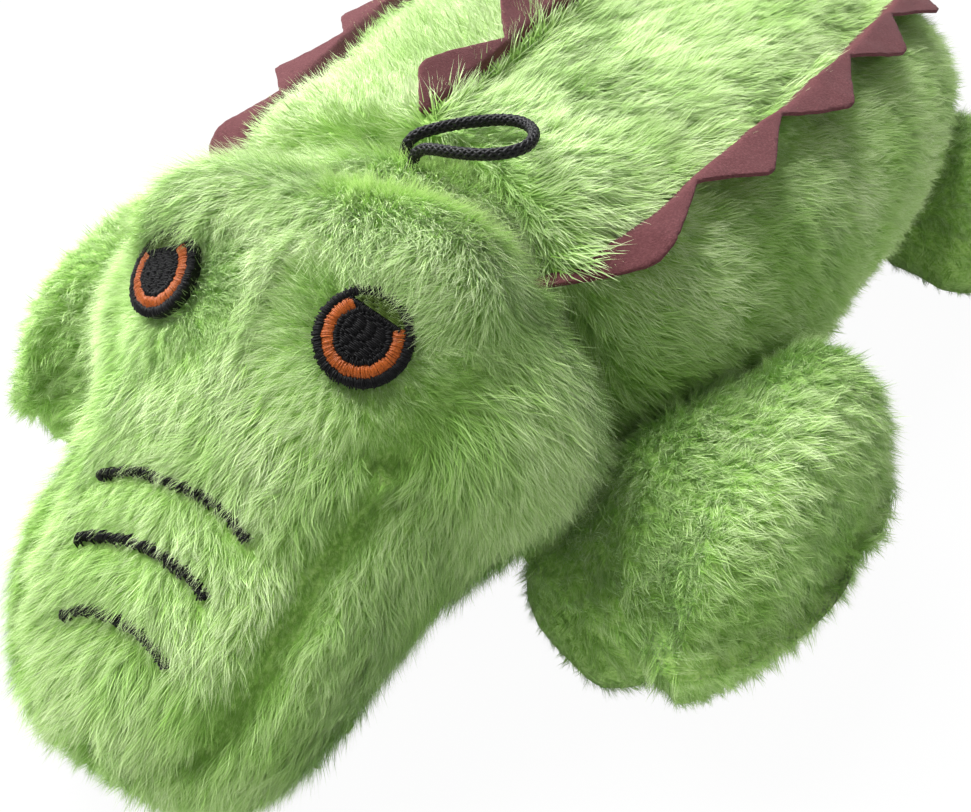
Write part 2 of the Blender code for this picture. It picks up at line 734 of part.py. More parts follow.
def squeaker():
    """A folded plastic bulb with its reed tube, in a pocket of the body's filling."""
    place = Vector((0, SNOUT_Y + SQUEAKER_STATION, SQUEAKER_BASE))
    steps = 4 * SQUEAKER_FOLDS
    profile = [(SQUEAKER_NECK, SQUEAKER_HEIGHT + SQUEAKER_NECK_HEIGHT), (SQUEAKER_NECK, SQUEAKER_HEIGHT)]
    for step in range(steps + 1):
        share = step / steps
        fold = SQUEAKER_FOLD * (0.5 + 0.5 * math.cos(2 * math.pi * SQUEAKER_FOLDS * share))
        profile.append((SQUEAKER_RADIUS - fold, SQUEAKER_HEIGHT * (1 - share)))
    profile.append((0.0, 0.0))
    turned("squeaker_bulb", profile, SQUEAKER_WALL, place, SQUEAKER_PLASTIC)
    neck_bore = SQUEAKER_NECK - SQUEAKER_WALL - FIT_GAP
    top = SQUEAKER_HEIGHT + SQUEAKER_NECK_HEIGHT + FIT_GAP + REED_FLANGE
    reed = [(SQUEAKER_NECK, top), (neck_bore, top), (neck_bore, SQUEAKER_HEIGHT / 2)]
    turned("squeaker_reed", reed, REED_BORE_WALL, place, SQUEAKER_PLASTIC)


def squeaker_pocket():
    """The pocket's space: a round hole from under the filling up past the squeaker."""
    top = SQUEAKER_BASE + SQUEAKER_HEIGHT + SQUEAKER_NECK_HEIGHT + 2 * REED_FLANGE + FIT_GAP
    facets = math.cos(math.pi / TURN_STEPS)
    bpy.ops.mesh.primitive_cylinder_add(
        vertices=TURN_STEPS, radius=(SQUEAKER_RADIUS + FIT_GAP) / facets, depth=top + OVERRUN,
        location=(0, SNOUT_Y + SQUEAKER_STATION, (top - OVERRUN) / 2))
    item = bpy.context.active_object
    item.name = "squeaker_pocket"
    for collection in list(item.users_collection):
        collection.objects.unlink(item)
    CUTTERS.objects.link(item)
    return as_cutter(item)


def hang_loop(body):
    """The cord's loop, which stands in the seam behind the head."""
    along = LOOP_STATION - BODY_START
    seat = body.point(body.t_at(along), 0.0)
    foot = Vector((0, seat.y, seat.z + FIT_GAP))
    route = [foot + Vector(step) for step in LOOP_ROUTE]
    count = LOOP_STEPS * (len(route) - 1)
    line = [Vector(blended(route, index / count)) for index in range(count + 1)]
    tube("hang_loop", line, LOOP_RADIUS, CORD)


def build_body(floor):
    """Five panels, their felt rows and the filling with its squeaker pocket."""
    form = body_form()
    right_row, left_row = -SIDE_ROW_ANGLE, SIDE_ROW_ANGLE
    felt_seams = (FELT_GAP, FELT_GAP)
    pieces = [
        panel("back_panel_left", form, (0.0, left_row), (0.0, 1.0), PLUSH, gaps=felt_seams),
        panel("back_panel_right", form, (right_row, 0.0), (0.0, 1.0), PLUSH, gaps=felt_seams),
        panel("flank_panel_left", form, (left_row, BELLY_SEAM_ANGLE), (0.0, 1.0), PLUSH,
              gaps=(FELT_GAP, SEAM_GAP)),
        panel("flank_panel_right", form, (-BELLY_SEAM_ANGLE, right_row), (0.0, 1.0), PLUSH,
              gaps=(SEAM_GAP, FELT_GAP)),
        panel("belly_panel", form, (BELLY_SEAM_ANGLE, 2 * math.pi - BELLY_SEAM_ANGLE),
              (0.0, 1.0), UNDER_PLUSH),
    ]
    filling = core("body_stuffing", form, None, CORE_RINGS, BODY_CORE_AROUND)
    felt = (SPIKE_PITCH, SPIKE_COUNT, SPIKE_HEIGHT)
    felt_row("spine_felt", form, 0.0, SPINE_LEAN, SPINE_ROW_START - BODY_START, *felt)
    start = SIDE_ROW_START - BODY_START
    felt_row("side_felt_left", form, left_row, SIDE_LEAN, start, *felt)
    felt_row("side_felt_right", form, right_row, -SIDE_LEAN, start, *felt)
    cut(pieces[4], floor)
    for item in pieces + [filling]:
        cut(item, NECK_SOCKET)
        cut(item, TAIL_SOCKET)
    for socket in LEG_SOCKETS:
        cut(filling, socket)
        cut(pieces[4], socket)
        cut(pieces[2] if socket.location.x > 0 else pieces[3], socket)
    cut(filling, squeaker_pocket())
    squeaker()
    hang_loop(form)


def build_head(floor):
    """Six panels, the filling, both eyes and the nose lines, on the neck's axis."""
    parent = axis_empty("neck_axis", HEAD_PIVOT)
    form = head_form()
    first = SNOUT_END_SHARE
    back = (len(HEAD_SHARES) + 1) / (len(form.rows) - 1)
    count = round(form.rings * (back - first))
    seam_ring = round((form.t_at(HEAD_REACH * CHEEK_SEAM_SHARE) - first) / (back - first) * count)
    corner = first + (back - first) * seam_ring / count     # a ring that all the panels share
    crown = panel("crown_panel", form, (-CROWN_SEAM_ANGLE, CROWN_SEAM_ANGLE), (first, back),
                  PLUSH, parent)
    chin = panel("chin_panel", form, (CHIN_SEAM_ANGLE, 2 * math.pi - CHIN_SEAM_ANGLE),
                 (first, back), UNDER_PLUSH, parent)
    lower = [chin]
    for side, end in ((1, "left"), (-1, "right")):
        seams = sorted((side * CROWN_SEAM_ANGLE, side * CHIN_SEAM_ANGLE))
        lower.append(panel("jowl_panel_" + end, form, seams, (first, corner), PLUSH, parent,
                           end_gaps=(0.0, SEAM_GAP)))
        lower.append(panel("cheek_panel_" + end, form, seams, (corner, back), PLUSH, parent,
                           end_gaps=(SEAM_GAP, 0.0)))
        eye(side, end, form, parent, crown)
    for item in lower:
        cut(item, floor)
    core("head_stuffing", form, parent, CORE_RINGS, HEAD_CORE_AROUND, HEAD_FILL_GAP)
    nose_stitches(form, parent, crown)


def build_tail(floor):
    """Two panels, the filling and the tail's own felt row, on the tail's axis."""
    parent = axis_empty("tail_axis", TAIL_PIVOT)
    form = tail_form()
    felt = (FELT_GAP, SEAM_GAP)
    for name, seams, gaps in (("tail_panel_left", (0.0, math.pi), felt),
                              ("tail_panel_right", (-math.pi, 0.0), felt[::-1])):
        cut(panel(name, form, seams, TAIL_ENDS, PLUSH, parent, gaps=gaps), floor)
    core("tail_stuffing", form, parent, TAIL_RINGS, TAIL_AROUND)
    felt_row("tail_felt", form, 0.0, SPINE_LEAN, TAIL_SPIKE_START, TAIL_SPIKE_PITCH,
             TAIL_SPIKE_COUNT, TAIL_SPIKE_HEIGHT, parent)


LEGS = (
    ("front_leg_left", 1, FRONT_LEG_OUT, FRONT_LEG_STATION),
    ("front_leg_right", -1, FRONT_LEG_OUT, FRONT_LEG_STATION),
    ("rear_leg_left", 1, REAR_LEG_OUT, REAR_LEG_STATION),
    ("rear_leg_right", -1, REAR_LEG_OUT, REAR_LEG_STATION),
)
LEG_SIZES = {
    FRONT_LEG_STATION: (FRONT_LEG_REACH, FRONT_LEG_HALF_LENGTH, FRONT_LEG_LEAN),
    REAR_LEG_STATION: (REAR_LEG_REACH, REAR_LEG_HALF_LENGTH, REAR_LEG_LEAN),
}


def build_legs(floor):
    """Four legs, each an upper and a lower panel round its filling, on its hip line."""
    quarter = math.pi / 2
    for name, side, out, station in LEGS:
        pivot = Vector((side * out, SNOUT_Y + station, LEG_HEIGHT))
        parent = axis_empty(name + "_axis", pivot)
        form = leg_form(side, pivot, *LEG_SIZES[station])
        panel(name + "_upper_panel", form, (-quarter, quarter), LEG_ENDS, PLUSH, parent)
        sole = panel(name + "_lower_panel", form, (quarter, 3 * quarter), LEG_ENDS, PLUSH, parent)
        cut(sole, floor)
        core(name + "_stuffing", form, parent, LEG_RINGS, LEG_AROUND, LEG_FILL_GAP)


def sockets():
    """The spaces in the body in which the neck, the tail and the legs turn."""
    neck = ball_cutter("neck_socket", HEAD_PIVOT, NECK_BALL)
    tail = ball_cutter("tail_socket", TAIL_PIVOT, TAIL_BALL)
    legs = []
    for name, side, out, station in LEGS:
        place = Vector((side * out, SNOUT_Y + station, LEG_HEIGHT))
        legs.append(ball_cutter(name + "_socket", place, LEG_BALL, LEG_BALL_HALF_LENGTH))
    return neck, tail, legs


NECK_SOCKET, TAIL_SOCKET, LEG_SOCKETS = sockets()
FLOOR = floor_cutter()
build_body(FLOOR)
build_head(FLOOR)
build_tail(FLOOR)
build_legs(FLOOR)
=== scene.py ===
"""Dresses the plush alligator chew toy: plush covers with their pile, felt spikes, embroidered eyes
and nose lines, and the braided hang loop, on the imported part."""
import functools
import math

import bmesh
import bpy
import numpy as np
from mathutils import Matrix, Vector, noise
from mathutils.bvhtree import BVHTree
from mathutils.kdtree import KDTree


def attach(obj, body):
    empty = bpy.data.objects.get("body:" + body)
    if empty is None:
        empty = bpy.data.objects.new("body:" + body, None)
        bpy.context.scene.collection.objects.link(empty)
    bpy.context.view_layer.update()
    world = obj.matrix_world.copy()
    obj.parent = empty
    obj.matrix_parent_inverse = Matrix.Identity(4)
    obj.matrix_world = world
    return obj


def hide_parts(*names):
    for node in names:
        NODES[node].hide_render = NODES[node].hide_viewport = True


bl_info = {
    "name": "Plush alligator toy",
    "version": (1, 0, 0),
    "blender": (4, 5, 0),
    "location": "View3D > Sidebar > Plush toy",
    "description": "Builds a plush alligator's covers, pile, felt, embroidery and hang loop",
    "category": "Object",
}

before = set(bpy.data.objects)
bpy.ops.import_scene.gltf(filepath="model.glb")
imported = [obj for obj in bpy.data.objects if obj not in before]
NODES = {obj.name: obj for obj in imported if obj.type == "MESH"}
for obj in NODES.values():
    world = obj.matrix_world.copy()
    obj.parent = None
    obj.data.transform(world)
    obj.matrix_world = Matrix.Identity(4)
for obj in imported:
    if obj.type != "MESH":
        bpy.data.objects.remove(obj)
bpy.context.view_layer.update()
HIDDEN_DEPTH = 0.004        # a cover this deep inside another form grows no pile
HIDDEN_REACH = 0.03         # how far off the other form's cover is looked for
PILE_DEPTH = 0.0024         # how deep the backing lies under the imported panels' outer face
NECK_COVER = 0.0028         # how far it lies over the filling where a form turns in another
SEAM_DEPTH = 0.0013         # how deep a seam draws the cover in
LIP_DEPTH = 1.8             # share of the seams' depth on the lips
FLAT_DEPTH = 0.45           # share of it on the other seams
LOWEST = 0.0004             # the covers' least height over the floor
RAY_REACH = 0.4             # how far from a form's core line the rays towards it start
LEAST_RADIUS = 0.004        # a form's radius where neither panel nor filling is found
LOW_PILE = 0.02             # below this height the pile is pressed short
BY_FELT = 0.006             # pile this near to the felt is longer on the back, else shorter
PILE_LENGTH = 0.0078
TUFTS = 760000.0            # tufts to each square metre of plush
TOUSLE = 0.5                # how far they stray from the brushed way
MOST_FACES = 158000         # the most triangles of one pile piece

# A tuft, in shares of its length
STRAIGHT_STRANDS = 10
BENT_STRANDS = 2
STRAIGHT_STOPS = ((0.0, 1.0), (1.0, 0.0))       # share of the length, share of the width
BENT_STOPS = ((0.0, 1.0), (0.55, 0.8), (1.0, 0.0))
GOLDEN_ANGLE = 2.4          # radians from one strand's root to the next
TUFT_RADIUS = 0.24
STRAND_LENGTHS = (0.70, 1.12)
STRAND_LIFTS = (0.26, 0.78)
FINE_STRAND = 0.0120        # half the width of a strand on the head
COARSE_STRAND = 0.0165      # and of one on the other forms

LEGS = ("front_leg_left", "front_leg_right", "rear_leg_left", "rear_leg_right")

# Where a form is fuller than its panels: the form, the place on either side, the reach, the rise
FULLNESS = (
    ("front_leg", (0.058, -0.224, 0.014), 0.020, 0.029),
    ("front_leg", (0.083, -0.231, 0.013), 0.012, 0.009),
    ("front_leg", (0.050, -0.220, 0.018), 0.018, 0.005),
    ("front_leg", (0.118, -0.188, 0.016), 0.018, 0.005),
    ("front_leg", (0.104, -0.158, 0.046), 0.028, 0.010),
    ("body", (0.092, -0.128, 0.040), 0.026, 0.005),
    ("body", (0.004, -0.184, 0.102), 0.018, 0.0035),
    ("body", (0.036, -0.178, 0.094), 0.022, 0.005),
    ("head", (0.000, -0.204, 0.103), 0.016, 0.003),
    ("head", (0.026, -0.236, 0.106), 0.016, 0.0022),
    ("head", (0.032, -0.204, 0.098), 0.024, 0.008),
    ("head", (0.060, -0.220, 0.064), 0.022, 0.006),
    ("head", (0.038, -0.284, 0.046), 0.020, 0.0045),
)

# Each form: its panels, its filling, the ends of its core line and the grid's size
FORMS = {
    "body": (("back_panel_left", "back_panel_right", "flank_panel_left", "flank_panel_right",
              "belly_panel"), "body_stuffing", (0, -0.150, 0.058), (0, 0.035, 0.056), (110, 120)),
    "head": (("crown_panel", "chin_panel", "jowl_panel_left", "jowl_panel_right",
              "cheek_panel_left", "cheek_panel_right"), "head_stuffing",
             (0, -0.292, 0.026), (0, -0.192, 0.056), (90, 110)),
    "tail": (("tail_panel_left", "tail_panel_right"), "tail_stuffing",
             (0, 0.078, 0.044), (0, 0.300, 0.018), (90, 60)),
}
LEG_CORES = {"front": (0.0775, 0.1005, -0.200), "rear": (0.0935, 0.1220, 0.017)}
LEG_CORE_HEIGHT = 0.033
for leg in LEGS:
    toward = 1 if leg.endswith("left") else -1
    near_end, far_end, along_body = LEG_CORES[leg.split("_")[0]]
    FORMS[leg] = ((leg + "_upper_panel", leg + "_lower_panel"), leg + "_stuffing",
                  (toward * near_end, along_body, LEG_CORE_HEIGHT),
                  (toward * far_end, along_body, LEG_CORE_HEIGHT), (46, 60))

# Each kind of form: how long its pile is, its share of the tufts, the share of those that grow on
# a panel that faces the floor, and how tousled it is
PILES = {
    "head": (1.0, 1.0, 0.24, 1.0),
    "body": (0.88, 0.72, 0.24, 1.0),
    "tail": (0.88, 0.30, 0.24, 1.0),
    "front": (0.66, 0.85, 0.45, 1.8),
    "rear": (0.66, 0.51, 0.24, 1.8),
}


def linear(colour):
    """A property's colour as a four-number linear value."""
    return (*colour[:3], 1.0)


def link(item):
    bpy.context.scene.collection.objects.link(item)
    return item


def object_from(name, points, faces, material=None):
    mesh = bpy.data.meshes.new(name)
    mesh.from_pydata([tuple(point) for point in points], [], faces)
    item = link(bpy.data.objects.new(name, mesh))
    if material:
        mesh.materials.append(material)
    return item


def plain_mesh(item, name):
    """The evaluated object as a new object with a plain mesh, in place of the old one."""
    evaluated = item.evaluated_get(bpy.context.evaluated_depsgraph_get())
    mesh = bpy.data.meshes.new_from_object(evaluated)
    bpy.data.objects.remove(item, do_unlink=True)
    mesh.name = name
    return link(bpy.data.objects.new(name, mesh))


class Graph:
    """A node tree under construction, with short ways to add nodes and links."""

    def __init__(self, tree):
        self.tree = tree

    def node(self, kind, settings=None, **inputs):
        made = self.tree.nodes.new(kind)
        for key, value in (settings or {}).items():
            setattr(made, key, value)
        for key, value in inputs.items():
            self.feed(made.inputs[key.replace("_", " ")], value)
        return made

    def feed(self, socket, value):
        """Links a socket, or a node's first output, to this socket, or else sets its value."""
        if isinstance(value, bpy.types.Node):
            value = value.outputs[0]
        if isinstance(value, bpy.types.NodeSocket):
            self.tree.links.new(value, socket)
        else:
            socket.default_value = value


class Tree(Graph):
    """A Geometry Nodes tree that takes a mesh and these named sizes."""

    def __init__(self, name, sizes):
        super().__init__(bpy.data.node_groups.new(name, "GeometryNodeTree"))
        face = self.tree.interface
        face.new_socket("Geometry", in_out="INPUT", socket_type="NodeSocketGeometry")
        self.keys = {}
        for label, kind, default in sizes:
            socket = face.new_socket(label, in_out="INPUT", socket_type="NodeSocket" + kind)
            if default is not None:
                socket.default_value = default
            self.keys[label] = socket.identifier
        face.new_socket("Geometry", in_out="OUTPUT", socket_type="NodeSocketGeometry")
        self.source = self.node("NodeGroupInput")
        self.sink = self.node("NodeGroupOutput")

    def size(self, label):
        return self.source.outputs[label]

    def named(self, name, kind="FLOAT"):
        made = self.node("GeometryNodeInputNamedAttribute", {"data_type": kind}, Name=name)
        return made.outputs["Attribute"]

    def shape(self, item):
        """The geometry of another object, in its own place."""
        info = self.node("GeometryNodeObjectInfo", {"transform_space": "ORIGINAL"}, Object=item)
        return info.outputs["Geometry"]

    def maths(self, operation, a, b=0.0):
        made = self.node("ShaderNodeMath", {"operation": operation})
        self.feed(made.inputs[0], a)
        self.feed(made.inputs[1], b)
        return made.outputs[0]

    def vector(self, operation, a, b=None):
        made = self.node("ShaderNodeVectorMath", {"operation": operation})
        self.feed(made.inputs[0], a)
        if b is not None:
            self.feed(made.inputs["Scale" if operation == "SCALE" else 1], b)
        return made.outputs[0]

    def random(self, low, high, seed, kind="FLOAT"):
        made = self.node("FunctionNodeRandomValue", {"data_type": kind})
        order = ("FLOAT_VECTOR", "FLOAT", "INT").index(kind)
        self.feed(made.inputs[2 * order], low)
        self.feed(made.inputs[2 * order + 1], high)
        self.feed(made.inputs["Seed"], seed)
        return made.outputs[order]

    def finish(self, geometry, material):
        coloured = self.node("GeometryNodeSetMaterial", Geometry=geometry, Material=material)
        self.feed(self.sink.inputs[0], coloured)
        return self


def run_tree(item, tree, name, **values):
    """Runs a tree on the object with these named inputs and keeps the result as a plain mesh."""
    modifier = item.modifiers.new(name, "NODES")
    modifier.node_group = tree.tree
    for label, value in values.items():
        modifier[tree.keys[label.replace("_", " ")]] = value
    return plain_mesh(item, name)


class Shader(Graph):
    """A Principled material under construction."""

    def __init__(self, name, roughness, sheen=0.0, specular=0.3):
        self.material = bpy.data.materials.new(name)
        self.material.use_nodes = True
        super().__init__(self.material.node_tree)
        self.main = self.tree.nodes["Principled BSDF"]
        self.feed(self.main.inputs["Roughness"], roughness)
        self.feed(self.main.inputs["Sheen Weight"], sheen)
        self.feed(self.main.inputs["Specular IOR Level"], specular)

    def noise(self, scale, detail):
        place = self.node("ShaderNodeTexCoord").outputs["Object"]
        made = self.node("ShaderNodeTexNoise", Scale=scale, Detail=detail, Vector=place)
        return made.outputs["Fac"]

    def ramp(self, factor, stops):
        made = self.node("ShaderNodeValToRGB")
        elements = made.color_ramp.elements
        elements.remove(elements[1])
        elements[0].position = stops[0][0]
        for position, _ in stops[1:]:
            elements.new(position)
        for element, (_, colour) in zip(elements, stops):
            element.color = linear(colour)
        self.feed(made.inputs[0], factor)
        return made.outputs[0]

    def mix(self, factor, a, b):
        made = self.node("ShaderNodeMix", {"data_type": "RGBA"})
        self.feed(made.inputs[0], factor)
        self.feed(made.inputs[6], a)
        self.feed(made.inputs[7], b)
        return made.outputs[2]

    def colour(self, value):
        self.feed(self.main.inputs["Base Color"], value)

    def bump(self, height, strength, distance):
        made = self.node("ShaderNodeBump", Height=height, Strength=strength, Distance=distance)
        self.feed(self.main.inputs["Normal"], made.outputs[0])


def pile_material(name, dark, light):
    """Pile that runs from a deep root to a pale tip, by the tuft's own tone, which carries painted
    highlight and painted shade as well. The bake's UV map holds the tone across and the strand's
    length up."""
    shader = Shader(name, roughness=0.85, sheen=0.25, specular=0.15)
    spot = shader.node("ShaderNodeUVMap", {"uv_map": "OFBake"}).outputs[0]
    parts = shader.node("ShaderNodeSeparateXYZ", Vector=spot)
    low = shader.ramp(parts.outputs[1], dark)
    high = shader.ramp(parts.outputs[1], light)
    shader.colour(shader.mix(parts.outputs[0], low, high))
    return shader.material


def between(colour, dark, light):
    """Three stops from a darker to a lighter shade of the colour: a share and an addition each."""
    return [[min(part * share + extra, 1.0) for part in colour]
            for share, extra in (dark, (1.0, 0.0), light)]


def speckled(name, shine, noise_size, places, shades, bump):
    """A finish with fine noise in its colour and relief. Shine is its roughness, sheen and
    specular, and bump its scale, detail, strength and distance."""
    shader = Shader(name, *shine)
    shader.colour(shader.ramp(shader.noise(*noise_size), list(zip(places, shades))))
    scale, detail, strength, distance = bump
    shader.bump(shader.noise(scale, detail), strength, distance)
    return shader.material


def backing_material(name, dark, light):
    """The woven backing that shows between the strands."""
    return speckled(name, (0.95, 0.2, 0.1), (900.0, 3.0), (0.35, 0.65), (dark, light),
                    (1400.0, 2.0, 0.6, 0.001))


def felt_material(colour):
    """Matted felt, with fine specks and faint clouds of its own colour."""
    shader = Shader("maroon_felt_finish", roughness=0.95, sheen=0.06, specular=0.05)
    dark, plain, light = between(colour, (0.62, 0.0), (1.5, 0.015))
    base = shader.ramp(shader.noise(1600.0, 4.0), ((0.30, dark), (0.52, plain), (0.74, light)))
    shader.colour(shader.mix(shader.noise(90.0, 3.0), base, linear(colour)))
    shader.bump(shader.noise(2600.0, 3.0), 0.55, 0.0006)
    return shader.material


def thread_material(name, colour, shine=(0.42, 0.05, 0.25)):
    """Twisted embroidery thread, with a sheen."""
    return speckled(name, shine, (3500.0, 2.0), (0.3, 0.5, 0.75),
                    between(colour, (0.55, 0.0), (1.3, 0.01)), (5200.0, 1.0, 0.3, 0.0002))


def cord_material(colour):
    """Braided synthetic cord with a faint shine."""
    _, plain, light = between(colour, (1.0, 0.0), (3.2, 0.006))
    return speckled("black_cord_finish", (0.48, 0.01, 0.22), (2600.0, 2.0), (0.35, 0.75),
                    (plain, light), (5000.0, 1.0, 0.35, 0.0002))


def plain_material(name, colour, roughness, scale):
    """A matt finish with soft shades of one colour."""
    dark, plain, _ = between(colour, (0.8, 0.0), (1.0, 0.0))
    return speckled(name, (roughness, 0.0, 0.3), (scale, 3.0), (0.3, 0.7), (dark, plain),
                    (scale * 2, 3.0, 0.3, 0.001))


def tree_of(names):
    """A search tree of these CAD nodes' triangles, and the node of each triangle."""
    points, faces, owners = [], [], []
    for name in names:
        mesh = NODES[name].data
        base = len(points)
        points += [vertex.co.copy() for vertex in mesh.vertices]
        for polygon in mesh.polygons:
            faces.append([base + index for index in polygon.vertices])
            owners.append(name)
    return BVHTree.FromPolygons(points, faces), owners


def rays(start, end, rings, around):
    """Origins and ways out of a rounded rod round the core line: a dome, a barrel and a dome."""
    start, end = Vector(start), Vector(end)
    axis = (end - start).normalized()
    up = (Vector((0, 0, 1)) - axis * axis.z).normalized()
    across = up.cross(axis)
    dome = rings // 4
    for ring in range(rings + 1):
        if ring <= dome:
            centre, polar = start, math.pi / 2 * ring / dome
        elif ring >= rings - dome:
            centre, polar = end, math.pi / 2 * (1 + (ring - rings + dome) / dome)
        else:
            centre = start.lerp(end, (ring - dome) / (rings - 2 * dome))
            polar = math.pi / 2
        for column in range(around):
            angle = 2 * math.pi * column / around
            side = up * math.cos(angle) + across * math.sin(angle)
            yield centre, side * math.sin(polar) - axis * math.cos(polar)


def wrapped(form):
    """The form's outer surface as a closed grid of points, and the panel under each point."""
    panels, filling, start, end, (rings, around) = FORMS[form]
    cover, owners = tree_of(panels)
    inside, _ = tree_of([filling])
    points, radii, names = [], [], []
    for centre, way in rays(start, end, rings, around):
        far = centre + way * RAY_REACH
        hit, _, index, away = cover.ray_cast(far, -way, RAY_REACH)
        names.append(owners[index] if hit else None)
        if not hit:
            hit, _, _, away = inside.ray_cast(far, -way, RAY_REACH)
        radii.append(RAY_REACH - away if hit else LEAST_RADIUS)
        points.append((centre, way))
    radii = np.array(radii).reshape(rings + 1, around)
    # The larger of neighbours and then the smaller closes the narrow slots between panels
    for step in (np.maximum, np.minimum):
        radii = step(step(np.roll(radii, 1, 1), np.roll(radii, -1, 1)), radii)
    grid = np.array([centre + way * radius for (centre, way), radius in zip(points, radii.flat)])
    names = np.array(names, dtype=object).reshape(rings + 1, around)
    return grid.reshape(rings + 1, around, 3), names


def filled(names):
    """Gives every point between the panels the panel that is nearest along its own ring or line."""
    found = names.copy()
    while any(name is None for name in found.ravel()):
        before = found.copy()
        for axis, step in ((0, 1), (0, -1), (1, 1), (1, -1)):
            beside = np.roll(before, step, axis)
            if axis == 0:
                beside[0 if step == 1 else -1] = before[0 if step == 1 else -1]
            gaps = np.array([[name is None for name in row] for row in found])
            found[gaps] = beside[gaps]
    return found


def relaxed(grid, rounds):
    """Softens the facets: every point moves towards its four neighbours."""
    for _ in range(rounds):
        sides = np.roll(grid, 1, 1) + np.roll(grid, -1, 1)
        lines = grid.copy()
        lines[1:-1] = grid[:-2] + grid[2:]
        inner = (sides + lines) / 4
        grid[1:-1] = 0.5 * grid[1:-1] + 0.5 * inner[1:-1]
        grid[0] = grid[1].mean(0)
        grid[-1] = grid[-2].mean(0)
    return grid


def grid_faces(rings, around):
    """The faces of a closed grid with one point at each end."""
    faces = []
    for column in range(around):
        beside = (column + 1) % around
        faces.append((0, 1 + beside, 1 + column))
        last = 1 + (rings - 2) * around
        faces.append((last + around, last + column, last + beside))
        for ring in range(rings - 2):
            at = 1 + ring * around
            faces.append((at + column, at + beside, at + around + beside, at + around + column))
    return faces


def in_order(grid):
    """A grid's points with one point at each end."""
    return [grid[0, 0], *grid[1:-1].reshape(-1, *grid.shape[2:]), grid[-1, 0]]


def crown(form, co):
    """How much fuller the stuffed form is here than its cut panels."""
    fuller = 0.0
    for name, spot, reach, rise in FULLNESS:
        if form.startswith(name):
            away = (Vector((abs(co.x), co.y, co.z)) - Vector(spot)).length
            fuller += rise * math.exp(-((away / reach) ** 2))
    return fuller


def on_seam(mesh, owners):
    """How deep each point lies in a seam, and half of that beside one. The lips' seams are the
    deepest, and the legs' seams don't show."""
    seam = np.zeros(len(mesh.vertices))
    pairs = [edge.vertices[:] for edge in mesh.edges]
    for first, second in pairs:
        names = {owners[first], owners[second]}
        if len(names) == 2 and "leg" not in owners[first]:
            lips = "crown_panel" in names and any("jowl" in name for name in names)
            seam[first] = seam[second] = LIP_DEPTH if lips else FLAT_DEPTH
    soft = seam.copy()
    for first, second in pairs:
        soft[first] = max(soft[first], seam[second] / 2)
        soft[second] = max(soft[second], seam[first] / 2)
    return soft


def cover_mesh(form, material):
    """One plush cover as a closed mesh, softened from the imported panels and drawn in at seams."""
    grid, names = wrapped(form)
    grid = relaxed(grid, 4)
    rings, around = grid.shape[0] - 1, grid.shape[1]
    points, packed, owners = in_order(grid), in_order(names), in_order(filled(names))
    item = object_from(form + "_plush", points, grid_faces(rings, around), material)
    work = bmesh.new()
    work.from_mesh(item.data)
    bmesh.ops.recalc_face_normals(work, faces=work.faces)
    work.normal_update()
    for vertex, step in [(vertex, vertex.normal.copy()) for vertex in work.verts]:
        vertex.co -= step * (PILE_DEPTH if packed[vertex.index] else -NECK_COVER)
        vertex.co += step * crown(form, vertex.co)
    for vertex, depth in zip(work.verts, on_seam(item.data, owners)):
        vertex.co -= vertex.normal * SEAM_DEPTH * depth
        vertex.co.z = max(vertex.co.z, LOWEST)
    work.to_mesh(item.data)
    work.free()
    item.data.shade_smooth()
    return item, owners


def eye_place(side):
    """An eye's centre, its way out, and the way to its lid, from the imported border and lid."""
    points = np.array([vertex.co for vertex in NODES["eye_border_" + side].data.vertices])
    _, _, ways = np.linalg.svd(points - points.mean(0))
    normal = Vector(ways[2])
    if normal.z < 0:
        normal.negate()
    lid = np.array([vertex.co for vertex in NODES["eye_lid_" + side].data.vertices]).mean(0)
    centre = Vector(points.mean(0))
    to_lid = Vector(lid) - centre
    to_lid = (to_lid - normal * to_lid.dot(normal)).normalized()
    return centre, normal, to_lid


EYES = {side: eye_place(side) for side in ("left", "right")}
EYE_RADIUS = 0.0100
EYE_RIM = 0.0084            # inside of the black border
EYE_HOLE = 0.0059           # inside of the iris
EYE_LID_LINE = 0.0052       # from the eye's centre to the lid's edge
EYE_LIFT = 0.0024           # the stitches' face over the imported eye's middle
EYE_DOME = 0.0007           # how far the eye's middle bulges
EYE_DEPTH = 0.0024          # thickness of the patch
EYE_SIDES = 48
BORDER_STITCHES = 190
IRIS_STITCHES = 165
PUPIL_STITCHES = 96
LID_EDGE_STITCHES = 38
PUPIL_ROWS = (0.00038, 0.0024)      # from row to row, length of a stitch
LID_ROWS = (0.00036, 0.0030)
STITCH_STRAY = 0.0003
